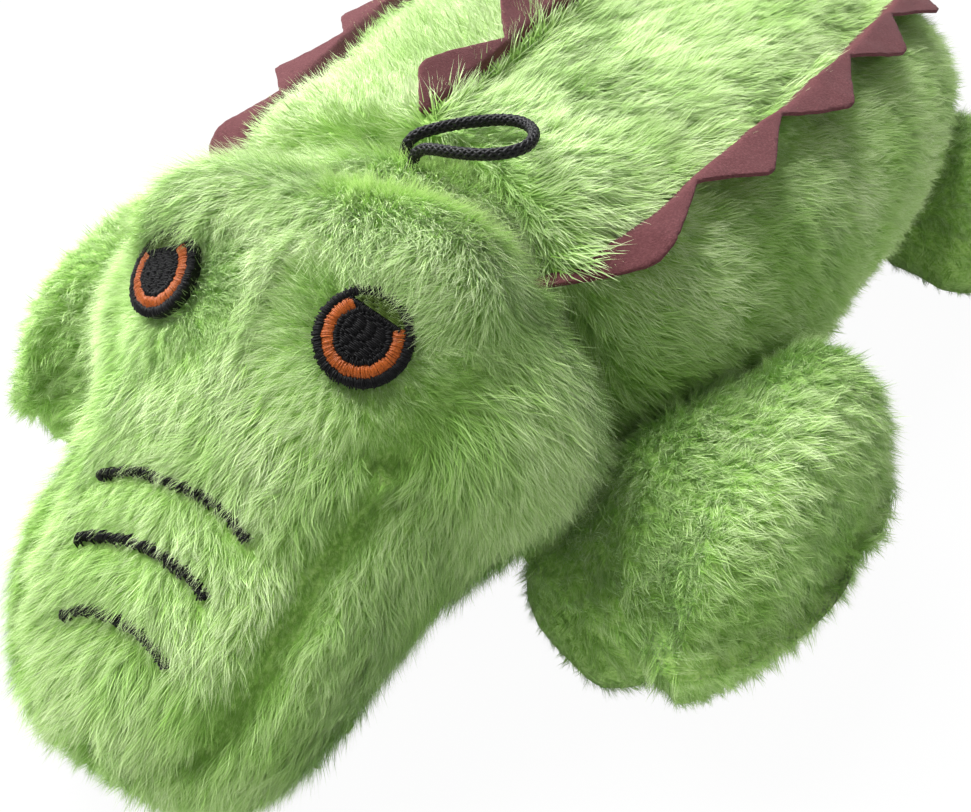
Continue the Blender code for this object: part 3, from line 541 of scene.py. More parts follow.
# The eye's threads: how high their stitches bow up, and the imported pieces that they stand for
EYE_THREADS = (("black", 0.00030, ("border", "pupil")), ("orange", 0.00034, ("iris",)),
               ("olive", 0.00026, ("lid",)))
FLOW_ROUND_EYE = (0.014, 0.034)     # where the pile starts and ends to lie round an eye
NOSE_LINES = ("nose_stitch_upper", "nose_stitch_middle", "nose_stitch_lower")
NOSE_POINTS = 9
NOSE_HALF_WIDTH = 0.0011
NOSE_BARE = 0.00033         # half the width without pile
NOSE_LIFT = 0.0009          # the stitches' height over the cover
NOSE_RISE = 0.0009          # and how much higher they bow up
NOSE_STEP = 0.0004
NOSE_THREAD = 0.0004
NOSE_CORE = 0.0012
LOOP_ROUTE = (
    (-0.0004, 0.0000, 0.0000), (0.0004, 0.0002, 0.0035), (0.0024, 0.0016, 0.0060),
    (0.0060, 0.0048, 0.0072), (0.0102, 0.0088, 0.0078), (0.0146, 0.0120, 0.0082),
    (0.0190, 0.0140, 0.0086), (0.0236, 0.0138, 0.0090), (0.0278, 0.0112, 0.0092),
    (0.0306, 0.0068, 0.0093), (0.0314, 0.0018, 0.0092), (0.0296, -0.0026, 0.0090),
    (0.0258, -0.0052, 0.0086), (0.0210, -0.0060, 0.0080), (0.0162, -0.0058, 0.0074),
    (0.0118, -0.0052, 0.0068), (0.0080, -0.0044, 0.0058), (0.0052, -0.0038, 0.0036),
    (0.0042, -0.0036, 0.0000),
)
LOOP_FOOT_Y = -0.1935
LOOP_STEP = 0.00042
CORD_RADIUS = 0.0015
BRAID_STRANDS = 6           # strands that turn each way
BRAID_PITCH = 0.0064        # length of one turn
BRAID_SHARE = 0.68          # a strand's middle, in shares of the cord's radius
BRAID_WEAVE = 0.06          # and how far it moves in and out
STRAND_WIDTH = 0.00078
FELTS = {"spine_felt": "body", "side_felt_left": "body", "side_felt_right": "body",
         "tail_felt": "tail"}
FELT_EDGE = 0.0022          # the felt's longest edges
FELT_CURL = 0.0009
FELT_GRAIN = 0.0002
FELT_SUNK = 0.006           # how deep the side strips' front ends go in
FELT_SUNK_ENDS = (0.004, 0.022)     # as deep up to here from the front end, and not from here on
FELT_SEED = 7               # noise_vector differs from run to run without one
FLOOR_GLOW = 0.97           # how much of the floor the camera sees as plain white
WORLD_STRENGTH = 0.33
LAMPS = (("key_light", (-0.68, -0.02, 0.98), 42.0), ("fill_light", (0.9, -0.9, 0.9), 1.5))
LIT_PLACE = Vector((0.03, -0.15, 0.05))
CAMERA_PLACE = (0.1301, -0.3880, 0.2079)
CAMERA_TILT = 53.0
CAMERA_TURN = 29.1


def swirl(co, scale, offset):
    """Smooth noise between -1 and 1 at this place."""
    return noise.noise(Vector((co.x, co.y, co.z)) * scale + Vector((offset, offset * 0.7, 3.1)))


def eased(value, low, high):
    """0 below low and 1 above high, with a soft change between."""
    share = min(max((value - low) / (high - low), 0.0), 1.0)
    return share * share * (3 - 2 * share)


def head_flow(co, side):
    """Down the snout in front, outwards behind, and round each eye with the brow over its top."""
    front = eased(-co.y, 0.236, 0.268)
    wide = min(abs(co.x) / 0.03, 1.0)
    way = Vector((side * 0.30, -1.0, -0.5)) * front
    way += Vector((side * (0.15 + 0.55 * wide), 0.35 * wide - 0.85, -0.1 - 0.4 * wide)) * (1 - front)
    for centre, _, lid in EYES.values():
        from_eye = co - centre
        if from_eye.length < FLOW_ROUND_EYE[1]:
            share = 1 - eased(from_eye.length, *FLOW_ROUND_EYE)
            above = eased(from_eye.dot(lid) / from_eye.length, 0.35, 0.85)
            round_eye = from_eye.normalized() * (1 - 2 * above)
            way = way.normalized() * (1 - share) + round_eye * share
    return way


def flow(form, co, normal):
    """The way the pile is brushed at this point, along the surface."""
    side = 1 if co.x >= 0 else -1
    if form == "head":
        way = head_flow(co, side)
    elif form == "body":
        way = Vector((side * 0.75, 0.55, -0.55))
    elif form == "tail":
        way = Vector((side * 0.3, 1.0, -0.35))
    else:
        way = Vector((side * 0.8, -0.25, -0.6))
    turn = 0.8 * swirl(co, 30.0, 1.7) + 0.6 * swirl(co, 75.0, 5.2)
    if form == "head":
        near = min((co - centre).length for centre, _, _ in EYES.values())
        turn *= 0.2 + 0.5 * eased(near, EYE_RADIUS, 2.5 * EYE_RADIUS)
    way = way - normal * way.dot(normal)
    if way.length < 1e-4:
        way = normal.orthogonal()
    way.normalize()
    return Matrix.Rotation(turn, 3, normal) @ way


def landmarks():
    """Search trees of the felt's faces and of points along the nose lines."""
    felt, _ = tree_of(FELTS)
    drawn = [point for name in NOSE_LINES for point in drawn_line(nose_line(name), 0.001)]
    nose = KDTree(len(drawn))
    for index, point in enumerate(drawn):
        nose.insert(point, index)
    nose.balance()
    return felt, nose


def trimmed(co, nose):
    """The share of its length that the head's pile keeps: less at the snout's front, the nose lines
    and the eyes, and most of it on the brow over each eye."""
    kept = 1 - 0.2 * eased(-co.y, 0.25, 0.28)
    kept *= 0.35 + 0.65 * eased(nose.find(co)[2], 0.001, 0.006)
    for centre, _, lid in EYES.values():
        away = (co - centre).length
        if away < EYE_RADIUS * 2.4:
            above = eased((co - centre).dot(lid) / away, 0.35, 0.85)
            brow = 0.50 + 0.62 * eased(away, EYE_RADIUS * 0.95, EYE_RADIUS * 1.9)
            kept *= (1 - above) * 0.62 + above * brow
    return kept


def pile_tone_and_painted_light(form, co, normal, seam):
    """How pale the pile is: cloudy at random, with a painted highlight where it faces up and a
    stronger one near the neck, painted shade where it faces sideways or down, and painted shade in a
    seam.
    """
    # pale is a painted highlight near the neck, laid only on pile that faces up
    pale = 0.0
    if form == "head":
        pale = 0.62 * eased(co.y, -0.256, -0.206)
    elif form == "body":
        pale = 0.30 * (1 - eased(co.y, -0.180, -0.150))
    clouds = 0.45 * swirl(co, 55.0, 20.0) + 0.35 * swirl(co, 140.0, 40.0)
    # Painted light: paler where the pile faces up, darker where it faces sideways or down, and
    # painted shade in the seams
    return 0.52 + clouds + pale * max(normal.z, 0.0) + 0.30 * (normal.z - 0.4) - 0.35 * seam


def lies_in(shell, co):
    """Whether this place is well inside a form's cover."""
    near, way, _, _ = shell.find_nearest(co, HIDDEN_REACH)
    return near is not None and (co - near).dot(way) < -HIDDEN_DEPTH


def brush(item, form, owners, others, felt, nose):
    """Writes the pile's way, length, tone with its painted highlight and shade, and cover on the
    cover's points.
    """
    mesh = item.data
    mesh.update()
    combs, piles, covers, tones_and_painted_light = [], [], [], []
    for vertex, owner, seam in zip(mesh.vertices, owners, on_seam(mesh, owners)):
        co, normal = vertex.co, vertex.normal
        combs += flow(form, co, normal)[:]
        covers.append(0.0 if any(lies_in(other, co) for other in others) else 1.0)
        long = (1.0 + 0.3 * swirl(co, 40.0, 9.0)) * PILES[form.split("_")[0]][0]
        if form == "head":
            long *= trimmed(co, nose)
        if co.z < LOW_PILE:
            long *= 0.65
        if felt.find_nearest(co)[3] < BY_FELT:
            long *= 1.35 if "back" in owner else 0.8
            seam = 0.0
        piles.append(long * (1 - 0.33 * seam))
        # The tone holds painted highlight and shade by the way the pile faces and in the seams
        tones_and_painted_light.append(pile_tone_and_painted_light(form, co, normal, seam))
    for word, values in (("pile", piles), ("cover", covers), ("tone", tones_and_painted_light)):
        mesh.attributes.new(word, "FLOAT", "POINT").data.foreach_set("value", values)
    mesh.attributes.new("comb", "FLOAT_VECTOR", "POINT").data.foreach_set("vector", combs)


def without(item, *words):
    """Takes these attributes off the object's mesh."""
    for word in words:
        found = item.data.attributes.get(word)
        if found:
            item.data.attributes.remove(found)


def region_mesh(item, name, owners, node):
    """The part of a cover that lies on one panel, as the ground that its pile grows on, and its
    area where pile grows."""
    mesh = item.data.copy()
    ground = link(bpy.data.objects.new(name + "_ground", mesh))
    work = bmesh.new()
    work.from_mesh(mesh)
    others = [face for face in work.faces if owners[face.verts[0].index] != node]
    bmesh.ops.delete(work, geom=others, context="FACES")
    grown = work.verts.layers.float["cover"]
    area = sum(face.calc_area() for face in work.faces if all(v[grown] > 0.5 for v in face.verts))
    work.to_mesh(mesh)
    work.free()
    return ground, area


def tuft(name, seed, width):
    """A tuft of fine strands one unit long, which lean over and meet towards the tip. Up is +Z and
    the way it is brushed is +Y. Most strands are straight, and a few bend over."""
    state = np.random.default_rng(seed)
    points, faces, along = [], [], []
    for strand in range(STRAIGHT_STRANDS + BENT_STRANDS):
        bent = strand >= STRAIGHT_STRANDS
        angle = GOLDEN_ANGLE * strand + state.uniform(-0.4, 0.4)
        spread = TUFT_RADIUS * math.sqrt(state.uniform(0.02, 1.0))
        root = np.array([spread * math.cos(angle), spread * math.sin(angle) * 1.3, -0.02])
        long = state.uniform(*STRAND_LENGTHS)
        lift = state.uniform(*STRAND_LIFTS)
        lean = np.array([-0.55 * root[0] + state.uniform(-0.10, 0.10),
                         long * math.sqrt(1 - lift * lift), long * lift])
        across = np.array([1.0, 0.0, state.uniform(-0.35, 0.35)]) * width * state.uniform(0.8, 1.2)
        base = len(points)
        for share, wide in BENT_STOPS if bent else STRAIGHT_STOPS:
            centre = root + lean * share
            if bent:
                centre[2] += 0.22 * long * math.sin(math.pi * share) * (1 - lift)
            points += [centre - across * wide, centre + across * wide] if wide else [centre]
            along += [share, share] if wide else [share]
        if bent:
            faces += [(base, base + 1, base + 3, base + 2), (base + 2, base + 3, base + 4)]
        else:
            faces.append((base, base + 1, base + 2))
    item = object_from(name, points, faces)
    item.data.attributes.new("along", "FLOAT", "POINT").data.foreach_set("value", along)
    item.hide_render = True
    return item


def pile_tree(tufts):
    """Scatters tufts on a cover, brushed along the comb attribute, and none on the bare places."""
    tree = Tree("pile_on_plush", (
        ("Density", "Float", TUFTS), ("Length", "Float", PILE_LENGTH), ("Tousle", "Float", TOUSLE),
        ("Floor", "Float", 0.0002), ("Margin", "Float", 0.0008), ("Own Normal", "Float", 0.20),
        ("Seed", "Int", 1), ("Bare", "Object", None), ("Pile", "Material", None)))
    density = tree.maths("MULTIPLY", tree.named("cover"), tree.size("Density"))
    spread = tree.node("GeometryNodeDistributePointsOnFaces", {"distribute_method": "RANDOM"},
                       Mesh=tree.source, Density=density, Seed=tree.size("Seed"))
    near = tree.node("GeometryNodeProximity", {"target_element": "FACES"},
                     Geometry=tree.shape(tree.size("Bare")))
    close = tree.node("FunctionNodeCompare", {"data_type": "FLOAT", "operation": "LESS_THAN"},
                      A=near.outputs["Distance"], B=tree.size("Margin"))
    points = tree.node("GeometryNodeDeleteGeometry", {"domain": "POINT"},
                       Geometry=spread.outputs["Points"], Selection=close)
    # The cover's tone, painted highlight and shade included, with a random share for each tuft
    tuft_tone_and_painted_light = tree.maths("ADD", tree.named("tone"), tree.random(-0.16, 0.16, 5))
    for word, kind, value in (("tone", "FLOAT", tuft_tone_and_painted_light),
                              ("lie", "FLOAT_VECTOR", spread.outputs["Normal"])):
        points = tree.node("GeometryNodeStoreNamedAttribute", {"data_type": kind, "domain": "POINT"},
                           Geometry=points, Name=word, Value=value)
    aligned = tree.node("FunctionNodeAxesToRotation", {"primary_axis": "Z", "secondary_axis": "Y"})
    tree.feed(aligned.inputs[0], spread.outputs["Normal"])
    tree.feed(aligned.inputs[1], tree.named("comb", "FLOAT_VECTOR"))
    astray = tree.random((-0.9, -0.6, -1.1), (0.5, 0.6, 1.1), 8, "FLOAT_VECTOR")
    tilt = tree.vector("SCALE", astray, tree.size("Tousle"))
    turned = tree.node("FunctionNodeRotateRotation", {"rotation_space": "LOCAL"}, Rotation=aligned,
                       Rotate_By=tree.node("FunctionNodeEulerToRotation", Euler=tilt))
    long = tree.maths("MULTIPLY", tree.named("pile"), tree.size("Length"))
    long = tree.maths("MULTIPLY", long, tree.random(0.8, 1.2, 11))
    joined = tree.node("GeometryNodeGeometryToInstance")
    for item in tufts:
        tree.feed(joined.inputs[0], tree.shape(item))
    placed = tree.node("GeometryNodeInstanceOnPoints", Points=points, Instance=joined,
                       Pick_Instance=True, Rotation=turned, Scale=long,
                       Instance_Index=tree.random(0, len(tufts) - 1, 14, "INT"))
    solid = tree.node("GeometryNodeRealizeInstances", Geometry=placed)
    split = tree.node("ShaderNodeSeparateXYZ", Vector=tree.node("GeometryNodeInputPosition"))
    height = tree.maths("MAXIMUM", split.outputs[2], tree.size("Floor"))
    place = tree.node("ShaderNodeCombineXYZ", X=split.outputs[0], Y=split.outputs[1], Z=height)
    raised = tree.node("GeometryNodeSetPosition", Geometry=solid, Position=place)
    own = tree.vector("SCALE", tree.node("GeometryNodeInputNormal"), tree.size("Own Normal"))
    unit = tree.vector("NORMALIZE", tree.vector("ADD", tree.named("lie", "FLOAT_VECTOR"), own))
    shaded = tree.node("GeometryNodeSetMeshNormal", {"mode": "FREE", "domain": "POINT"},
                       Mesh=raised, Custom_Normal=unit)
    bounded = tree.node("ShaderNodeClamp", Value=tree.named("tone"), Min=0.01, Max=0.99)
    drawn = tree.node("ShaderNodeClamp", Value=tree.named("along"), Min=0.01, Max=0.99)
    spot = tree.node("ShaderNodeCombineXYZ", X=bounded, Y=drawn)
    mapped = tree.node("GeometryNodeStoreNamedAttribute", {"data_type": "FLOAT2", "domain": "CORNER"},
                       Geometry=shaded, Name="OFBake", Value=spot)
    return tree.finish(mapped, tree.size("Pile"))


@functools.cache
def thread_tree():
    """Turns each drawn line into a round thread."""
    tree = Tree("threads_on_lines", (
        ("Thickness", "Float", 0.0005), ("Sides", "Int", 6), ("Thread", "Material", None)))
    line = tree.node("GeometryNodeMeshToCurve", Mesh=tree.source)
    ring = tree.node("GeometryNodeCurvePrimitiveCircle", Resolution=tree.size("Sides"),
                     Radius=tree.maths("MULTIPLY", tree.size("Thickness"), 0.5))
    tube = tree.node("GeometryNodeCurveToMesh", Curve=line, Profile_Curve=ring, Fill_Caps=True)
    solid = tree.node("GeometryNodeRealizeInstances", Geometry=tube)
    return tree.finish(solid, tree.size("Thread"))


def threads(name, lines, thickness, material, sides=6):
    """Threads along these lines, as one plain mesh."""
    points, edges = [], []
    for line in lines:
        base = len(points)
        points += [tuple(point) for point in line]
        edges += [(base + index, base + index + 1) for index in range(len(line) - 1)]
    mesh = bpy.data.meshes.new(name)
    mesh.from_pydata(points, edges, [])
    item = link(bpy.data.objects.new(name + "_lines", mesh))
    made = run_tree(item, thread_tree(), name, Thickness=thickness, Sides=sides, Thread=material)
    made.data.shade_smooth()
    return made


def stitched(lines, state, rise, stray):
    """Satin stitches from pairs of ends with the way up: each bows up and ends a little astray."""
    made = []
    for start, end, up in lines:
        along = (end - start).normalized()
        up = up * state.uniform(0.6, 1.3)
        start = start + along * state.uniform(-stray, stray)
        end = end + along * state.uniform(-stray, stray)
        made.append([start - up * rise * 0.6, start.lerp(end, 0.2) + up * rise * 0.75,
                     start.lerp(end, 0.5) + up * rise, start.lerp(end, 0.8) + up * rise * 0.75,
                     end - up * rise * 0.6])
    return made


class EyePlan:
    """The stitches of one eye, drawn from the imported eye's own frame."""

    def __init__(self, side):
        centre, self.up, self.lid = EYES[side]
        self.across = self.up.cross(self.lid)
        self.base = centre + self.up * EYE_LIFT
        self.state = np.random.default_rng(5 if side == "left" else 6)

    def spot(self, radius, angle, lift=0.0):
        """A point at this radius, and at this angle from the way to the lid."""
        dome = EYE_DOME * (1 - (radius / EYE_RADIUS) ** 2)
        return (self.base + self.lid * (radius * math.cos(angle))
                + self.across * (radius * math.sin(angle)) + self.up * (dome + lift))

    def ring(self, inner, outer, count, below=None, slant=0.03):
        """Stitches across a ring, and only below the lid's line where one is given."""
        lines = []
        for index in range(count):
            angle = 2 * math.pi * (index + self.state.uniform(-0.3, 0.3)) / count
            if below is not None and (inner + outer) / 2 * math.cos(angle) > below:
                continue
            lines.append((self.spot(inner, angle), self.spot(outer, angle + slant), self.up))
        return lines

    def rows(self, low, high, radius, pitch, stitch):
        """Rows of fill stitches across the eye, between two distances towards the lid."""
        lines = []
        for row in range(int((high - low) / pitch) + 1):
            level = low + row * pitch
            half = math.sqrt(max(radius * radius - level * level, 0.0))
            start = -half + self.state.uniform(0.0, 0.5) * stitch
            places = [-half]
            while start < half - 0.3 * stitch:
                if start > -half + 0.2 * stitch:
                    places.append(start)
                start += stitch
            places.append(half)
            for first, second in zip(places, places[1:]):
                lines.append((self.level_spot(first, level), self.level_spot(second, level), self.up))
        return lines

    def level_spot(self, out, level):
        """A point this far out to the side and this far towards the lid."""
        return self.spot(math.hypot(out, level), math.atan2(out, level))

    def lid_edge(self, count, low, high):
        """Short stitches along the lid's edge."""
        half = math.sqrt(EYE_RIM ** 2 - EYE_LID_LINE ** 2)
        places = [(index / (count - 1) - 0.5) * 2 * half for index in range(count)]
        return [(self.level_spot(out, low), self.level_spot(out, high), self.up) for out in places]

    def patch(self, name, material):
        """The stiff round patch under the stitches."""
        points, faces = [self.spot(0.0, 0.0)], []
        rings = ((0.35, 0.0), (0.7, 0.0), (1.0, 0.0), (1.0, EYE_DEPTH))
        for share, drop in rings:
            for step in range(EYE_SIDES):
                angle = 2 * math.pi * step / EYE_SIDES
                points.append(self.spot(EYE_RADIUS * share, angle, -drop))
        points.append(self.base - self.up * EYE_DEPTH)
        last = 1 + (len(rings) - 1) * EYE_SIDES
        for step in range(EYE_SIDES):
            beside = (step + 1) % EYE_SIDES
            faces.append((0, 1 + step, 1 + beside))
            for at in range(1, last, EYE_SIDES):
                faces.append((at + step, at + EYE_SIDES + step, at + EYE_SIDES + beside, at + beside))
            faces.append((len(points) - 1, last + beside, last + step))
        return object_from(name, points, faces, material)


def nose_line(name):
    """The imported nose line's centreline, from one end to the other."""
    points = np.array(sorted({tuple(round(c, 5) for c in v.co) for v in NODES[name].data.vertices}))
    parts = np.array_split(points[np.argsort(points[:, 0])], NOSE_POINTS)
    return [Vector(part.mean(0)) for part in parts]


def drawn_line(points, step):
    """Points a step apart on a smooth curve through these ones."""
    made = []
    for index in range(len(points) - 1):
        a, b = points[max(index - 1, 0)], points[index]
        c, d = points[index + 1], points[min(index + 2, len(points) - 1)]
        count = max(1, round((c - b).length / step))
        for number in range(count):
            t = number / count
            made.append(0.5 * (2 * b + (c - a) * t + (2 * a - 5 * b + 4 * c - d) * t * t
                               + (3 * b - a - 3 * c + d) * t ** 3))
    made.append(points[-1].copy())
    return made


def bare_places(head):
    """Faces on the head's cover over which no pile grows: both eyes and the nose lines."""
    points, faces = [], []
    for centre, up, lid in EYES.values():
        across = up.cross(lid)
        base = len(points)
        for step in range(EYE_SIDES):
            angle = 2 * math.pi * step / EYE_SIDES
            points.append(centre + (lid * math.cos(angle) + across * math.sin(angle)) * EYE_RADIUS)
        faces.append(tuple(range(base, base + EYE_SIDES)))
    for name in NOSE_LINES:
        line = nose_line(name)
        base = len(points)
        for index, point in enumerate(line):
            along = line[min(index + 1, len(line) - 1)] - line[max(index - 1, 0)]
            near, up, _, _ = head.find_nearest(point)
            side = up.cross(along).normalized() * NOSE_BARE
            points += [near - side, near + side]
            if index:
                at = base + 2 * index
                faces.append((at - 2, at, at + 1, at - 1))
    return object_from("bare_places", points, faces)


def braid(path, radius):
    """The strands of a round braid along a path: half turn one way and half the other, and each
    goes over and under as it turns."""
    frames = []
    side = Vector((0, 0, 1)).cross(path[1] - path[0]).normalized()
    for index, point in enumerate(path):
        along = (path[min(index + 1, len(path) - 1)] - path[max(index - 1, 0)]).normalized()
        side = (side - along * side.dot(along)).normalized()
        frames.append((point, side.copy(), along.cross(side)))
    step = (path[1] - path[0]).length
    strands = []
    for way in (1, -1):
        for number in range(BRAID_STRANDS):
            line = []
            for index, (point, side, up) in enumerate(frames):
                turn = 2 * math.pi * (way * index * step / BRAID_PITCH + number / BRAID_STRANDS)
                weave = math.cos(BRAID_STRANDS * turn) * way
                out = radius * (BRAID_SHARE + BRAID_WEAVE * weave)
                line.append(point + (side * math.cos(turn) + up * math.sin(turn)) * out)
            strands.append(line)
    return strands


def soft_felt(mesh, sunk_end):
    """Gives a packed felt strip soft edges and a slight curl, and sinks a side strip's front end in
    its seam. Returns the strip's flat area and its length along the toy."""
    work = bmesh.new()
    work.from_mesh(mesh)
    bmesh.ops.remove_doubles(work, verts=work.verts, dist=0.00001)
    area = sum(face.calc_area() for face in work.faces) / 2
    spread = max(v.co.y for v in work.verts) - min(v.co.y for v in work.verts)
    for _ in range(5):
        long = [edge for edge in work.edges if edge.calc_length() > FELT_EDGE]
        bmesh.ops.subdivide_edges(work, edges=long, cuts=1)
        bmesh.ops.triangulate(work, faces=work.faces)
    for _ in range(3):
        bmesh.ops.smooth_vert(work, verts=work.verts, factor=0.5, use_axis_x=True,
                              use_axis_y=True, use_axis_z=True)
    front = min(vertex.co.y for vertex in work.verts)
    for vertex in work.verts:
        curl = noise.noise_vector(vertex.co * 45.0) * FELT_CURL
        vertex.co += curl + noise.noise_vector(vertex.co * 260.0) * FELT_GRAIN
        if sunk_end:
            sunk = FELT_SUNK * (1 - eased(vertex.co.y - front, *FELT_SUNK_ENDS))
            vertex.co -= Vector((math.copysign(0.7, vertex.co.x), 0, 0.7)) * sunk
    work.to_mesh(mesh)
    work.free()
    return area, spread


def embroider_eye(side, finishes, width):
    """One eye: a black border, pupil and lid's edge, an orange iris and an olive lid. The rings
    overlap a little, so that no gap shows between them."""
    plan = EyePlan(side)
    edge = EYE_LID_LINE
    dark = plan.ring(EYE_RIM - 0.0001, EYE_RADIUS + 0.0003, BORDER_STITCHES)
    dark += plan.ring(EYE_HOLE - 0.0012, EYE_HOLE + 0.0001, PUPIL_STITCHES, edge - 0.0006)
    dark += plan.rows(-EYE_HOLE + 0.0013, edge - 0.0009, EYE_HOLE - 0.0011, *PUPIL_ROWS)
    dark += plan.lid_edge(LID_EDGE_STITCHES, edge - 0.0009, edge + 0.0002)
    bright = plan.ring(EYE_HOLE, EYE_RIM + 0.0001, IRIS_STITCHES, edge - 0.0004, slant=0.015)
    lid = plan.rows(edge + 0.0004, EYE_RIM - 0.0002, EYE_RIM, *LID_ROWS)
    patch = plan.patch("eye_%s_patch" % side, finishes["black"])
    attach(patch, "head")
    for (colour, rise, nodes), lines in zip(EYE_THREADS, (dark, bright, lid)):
        made = threads("eye_%s_%s" % (side, colour),
                       stitched(lines, plan.state, rise, STITCH_STRAY), width, finishes[colour],
                       sides=5)
        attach(made, "head")
        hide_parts(*["eye_%s_%s" % (node, side) for node in nodes])


def embroider_nose(name, state, material):
    """One nose line: slanted stitches across it, over a round core."""
    line = drawn_line(nose_line(name), NOSE_STEP)
    lines, spine = [], []
    for index, point in enumerate(line):
        near, up, _, _ = SHELLS["head"].find_nearest(point)
        if up.z < 0:
            up = -up
        along = (line[min(index + 1, len(line) - 1)] - line[max(index - 1, 0)]).normalized()
        side = up.cross(along).normalized()
        middle = near + up * NOSE_LIFT
        spine.append(middle - up * NOSE_THREAD)
        wide = NOSE_HALF_WIDTH * state.uniform(0.65, 1.2)
        lines.append((middle - side * wide - along * NOSE_STEP,
                      middle + side * wide + along * NOSE_STEP, up))
    made = threads(name + "_thread", stitched(lines, state, NOSE_RISE, NOSE_STEP), NOSE_THREAD,
                   material, sides=5)
    core = threads(name + "_core", [spine], NOSE_CORE, material, sides=8)
    for item in (made, core):
        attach(item, "head")
    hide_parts(name)


def floor_material(colour):
    """A matt floor that the camera sees almost as plain white, as in a cut-out photograph."""
    floor = Shader("floor_white", roughness=0.9, specular=0.1)
    floor.colour(linear(colour))
    glow = floor.node("ShaderNodeEmission", Color=(1, 1, 1, 1), Strength=1.0)
    share = floor.node("ShaderNodeMath", {"operation": "MULTIPLY"})
    floor.feed(share.inputs[0], floor.node("ShaderNodeLightPath").outputs["Is Camera Ray"])
    floor.feed(share.inputs[1], FLOOR_GLOW)
    mixed = floor.node("ShaderNodeMixShader", Fac=share)
    floor.feed(mixed.inputs[1], floor.main)
    floor.feed(mixed.inputs[2], glow)
    floor.feed(floor.tree.nodes["Material Output"].inputs["Surface"], mixed)
    return floor.material


def white_world():
    """A world that lights the toy softly, and that the camera sees as plain white."""
    world = bpy.data.worlds.new("studio")
    world.use_nodes = True
    sky = Graph(world.node_tree)
    soft = sky.tree.nodes["Background"]
    sky.feed(soft.inputs["Color"], (1, 1, 1, 1))
    sky.feed(soft.inputs["Strength"], WORLD_STRENGTH)
    plain = sky.node("ShaderNodeBackground", Color=(1, 1, 1, 1))
    seen = sky.node("ShaderNodeLightPath").outputs["Is Camera Ray"]
    either = sky.node("ShaderNodeMixShader", Fac=seen)
    sky.feed(either.inputs[1], soft)
    sky.feed(either.inputs[2], plain)
    sky.feed(sky.tree.nodes["World Output"].inputs["Surface"], either)
    return world


# The covers' search trees, which the pile and the nose lines read
SHELLS = {}


def length(name, text, value):
    """A property for a small length."""
    return bpy.props.FloatProperty(name=name, description=text, default=value, subtype="DISTANCE",
                                   unit="LENGTH", precision=5)


def tint(name, text, value):
    """A property for a colour."""
    return bpy.props.FloatVectorProperty(name=name, description=text, default=value, size=3,
                                         min=0.0, max=1.0, subtype="COLOR")


class ToyPlushSettings(bpy.types.PropertyGroup):
    pile_length: length("Pile length", "Length of the plush's strands", PILE_LENGTH)
    density: bpy.props.FloatProperty(
        name="Tufts", description="Tufts to each square metre of plush", default=TUFTS)
    tousle: bpy.props.FloatProperty(
        name="Tousle", description="How far tufts stray from the brushed way", default=TOUSLE)
    root: tint("Root", "Deep green at the strands' roots", (0.255, 0.500, 0.080))
    middle: tint("Middle", "Green of the strands' middle", (0.440, 0.670, 0.190))
    tip: tint("Tip", "Pale green of the strands' tips", (0.730, 0.860, 0.500))


class ToyFillingSettings(bpy.types.PropertyGroup):
    fibre: tint("Fibre", "White of the filling", (0.82, 0.82, 0.80))
    squeaker: tint("Squeaker", "Milky plastic of the squeaker", (0.74, 0.76, 0.74))


class ToyTrimSettings(bpy.types.PropertyGroup):
    felt: tint("Felt", "Maroon of the spikes", (0.118, 0.042, 0.046))
    black: tint("Black thread", "Outline, pupil and nose lines", (0.0030, 0.0030, 0.0038))
    orange: tint("Orange thread", "Iris", (0.40, 0.088, 0.008))
    olive: tint("Olive thread", "Upper lid", (0.062, 0.112, 0.008))
    thread: length("Thread", "Thickness of the embroidery thread", 0.00036)


class ToyStageSettings(bpy.types.PropertyGroup):
    floor: tint("Floor", "Colour of the floor", (0.90, 0.90, 0.90))
    lens: bpy.props.FloatProperty(
        name="Lens", description="Focal length of the camera", default=38.37, unit="CAMERA")


class TOY_OT_plush(bpy.types.Operator):
    """Makes the plush covers and their pile"""
    bl_idname = "toy.plush"
    bl_label = "Plush covers and pile"

    def execute(self, context):
        chosen = context.scene.toy_plush
        root, middle, tip = chosen.root[:], chosen.middle[:], chosen.tip[:]
        backing = backing_material("green_backing", root, middle)
        deep = [part * 0.75 for part in root]
        pale = [min(part * 1.15 + 0.03, 1) for part in tip]
        pile = pile_material(
            "green_pile", ((0.0, deep), (0.5, root), (1.0, middle)),
            ((0.0, root), (0.35, middle), (0.75, tip), (1.0, pale)))
        fine = [tuft("fine_tuft_%d" % seed, seed, FINE_STRAND) for seed in (11, 12, 13, 14)]
        coarse = [tuft("tuft_%d" % seed, seed, COARSE_STRAND) for seed in (21, 22, 23, 24)]
        fine_pile, coarse_pile = pile_tree(fine), pile_tree(coarse)
        load = sum(len(face.vertices) - 2 for face in fine[0].data.polygons)
        covers = {form: cover_mesh(form, backing) for form in FORMS}
        for form, (item, _) in covers.items():
            work = bmesh.new()
            work.from_mesh(item.data)
            SHELLS[form] = BVHTree.FromBMesh(work)
            work.free()
        bare = bare_places(SHELLS["head"])
        felt, nose = landmarks()
        for order, (form, (item, owners)) in enumerate(covers.items()):
            others = [shell for name, shell in SHELLS.items() if name != form]
            brush(item, form, owners, others, felt, nose)
            _, share, under_share, tousle = PILES[form.split("_")[0]]
            for number, panel in enumerate(FORMS[form][0]):
                name = panel.replace("_panel", "") + "_pile"
                ground, area = region_mesh(item, name, owners, panel)
                under = panel in ("belly_panel", "chin_panel") or "lower" in panel
                density = chosen.density * share * (under_share if under else 1.0)
                made = run_tree(
                    ground, fine_pile if form == "head" else coarse_pile, name,
                    Density=min(density, MOST_FACES / load / area), Length=chosen.pile_length,
                    Tousle=chosen.tousle * tousle, Seed=31 * order + number, Bare=bare, Pile=pile)
                without(made, "comb", "pile", "cover", "tone", "lie", "along")
                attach(made, form)
            without(item, "comb", "pile", "cover", "tone")
            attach(item, form)
            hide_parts(*FORMS[form][0])
        for item in [bare] + fine + coarse:
            bpy.data.objects.remove(item, do_unlink=True)
        return {"FINISHED"}


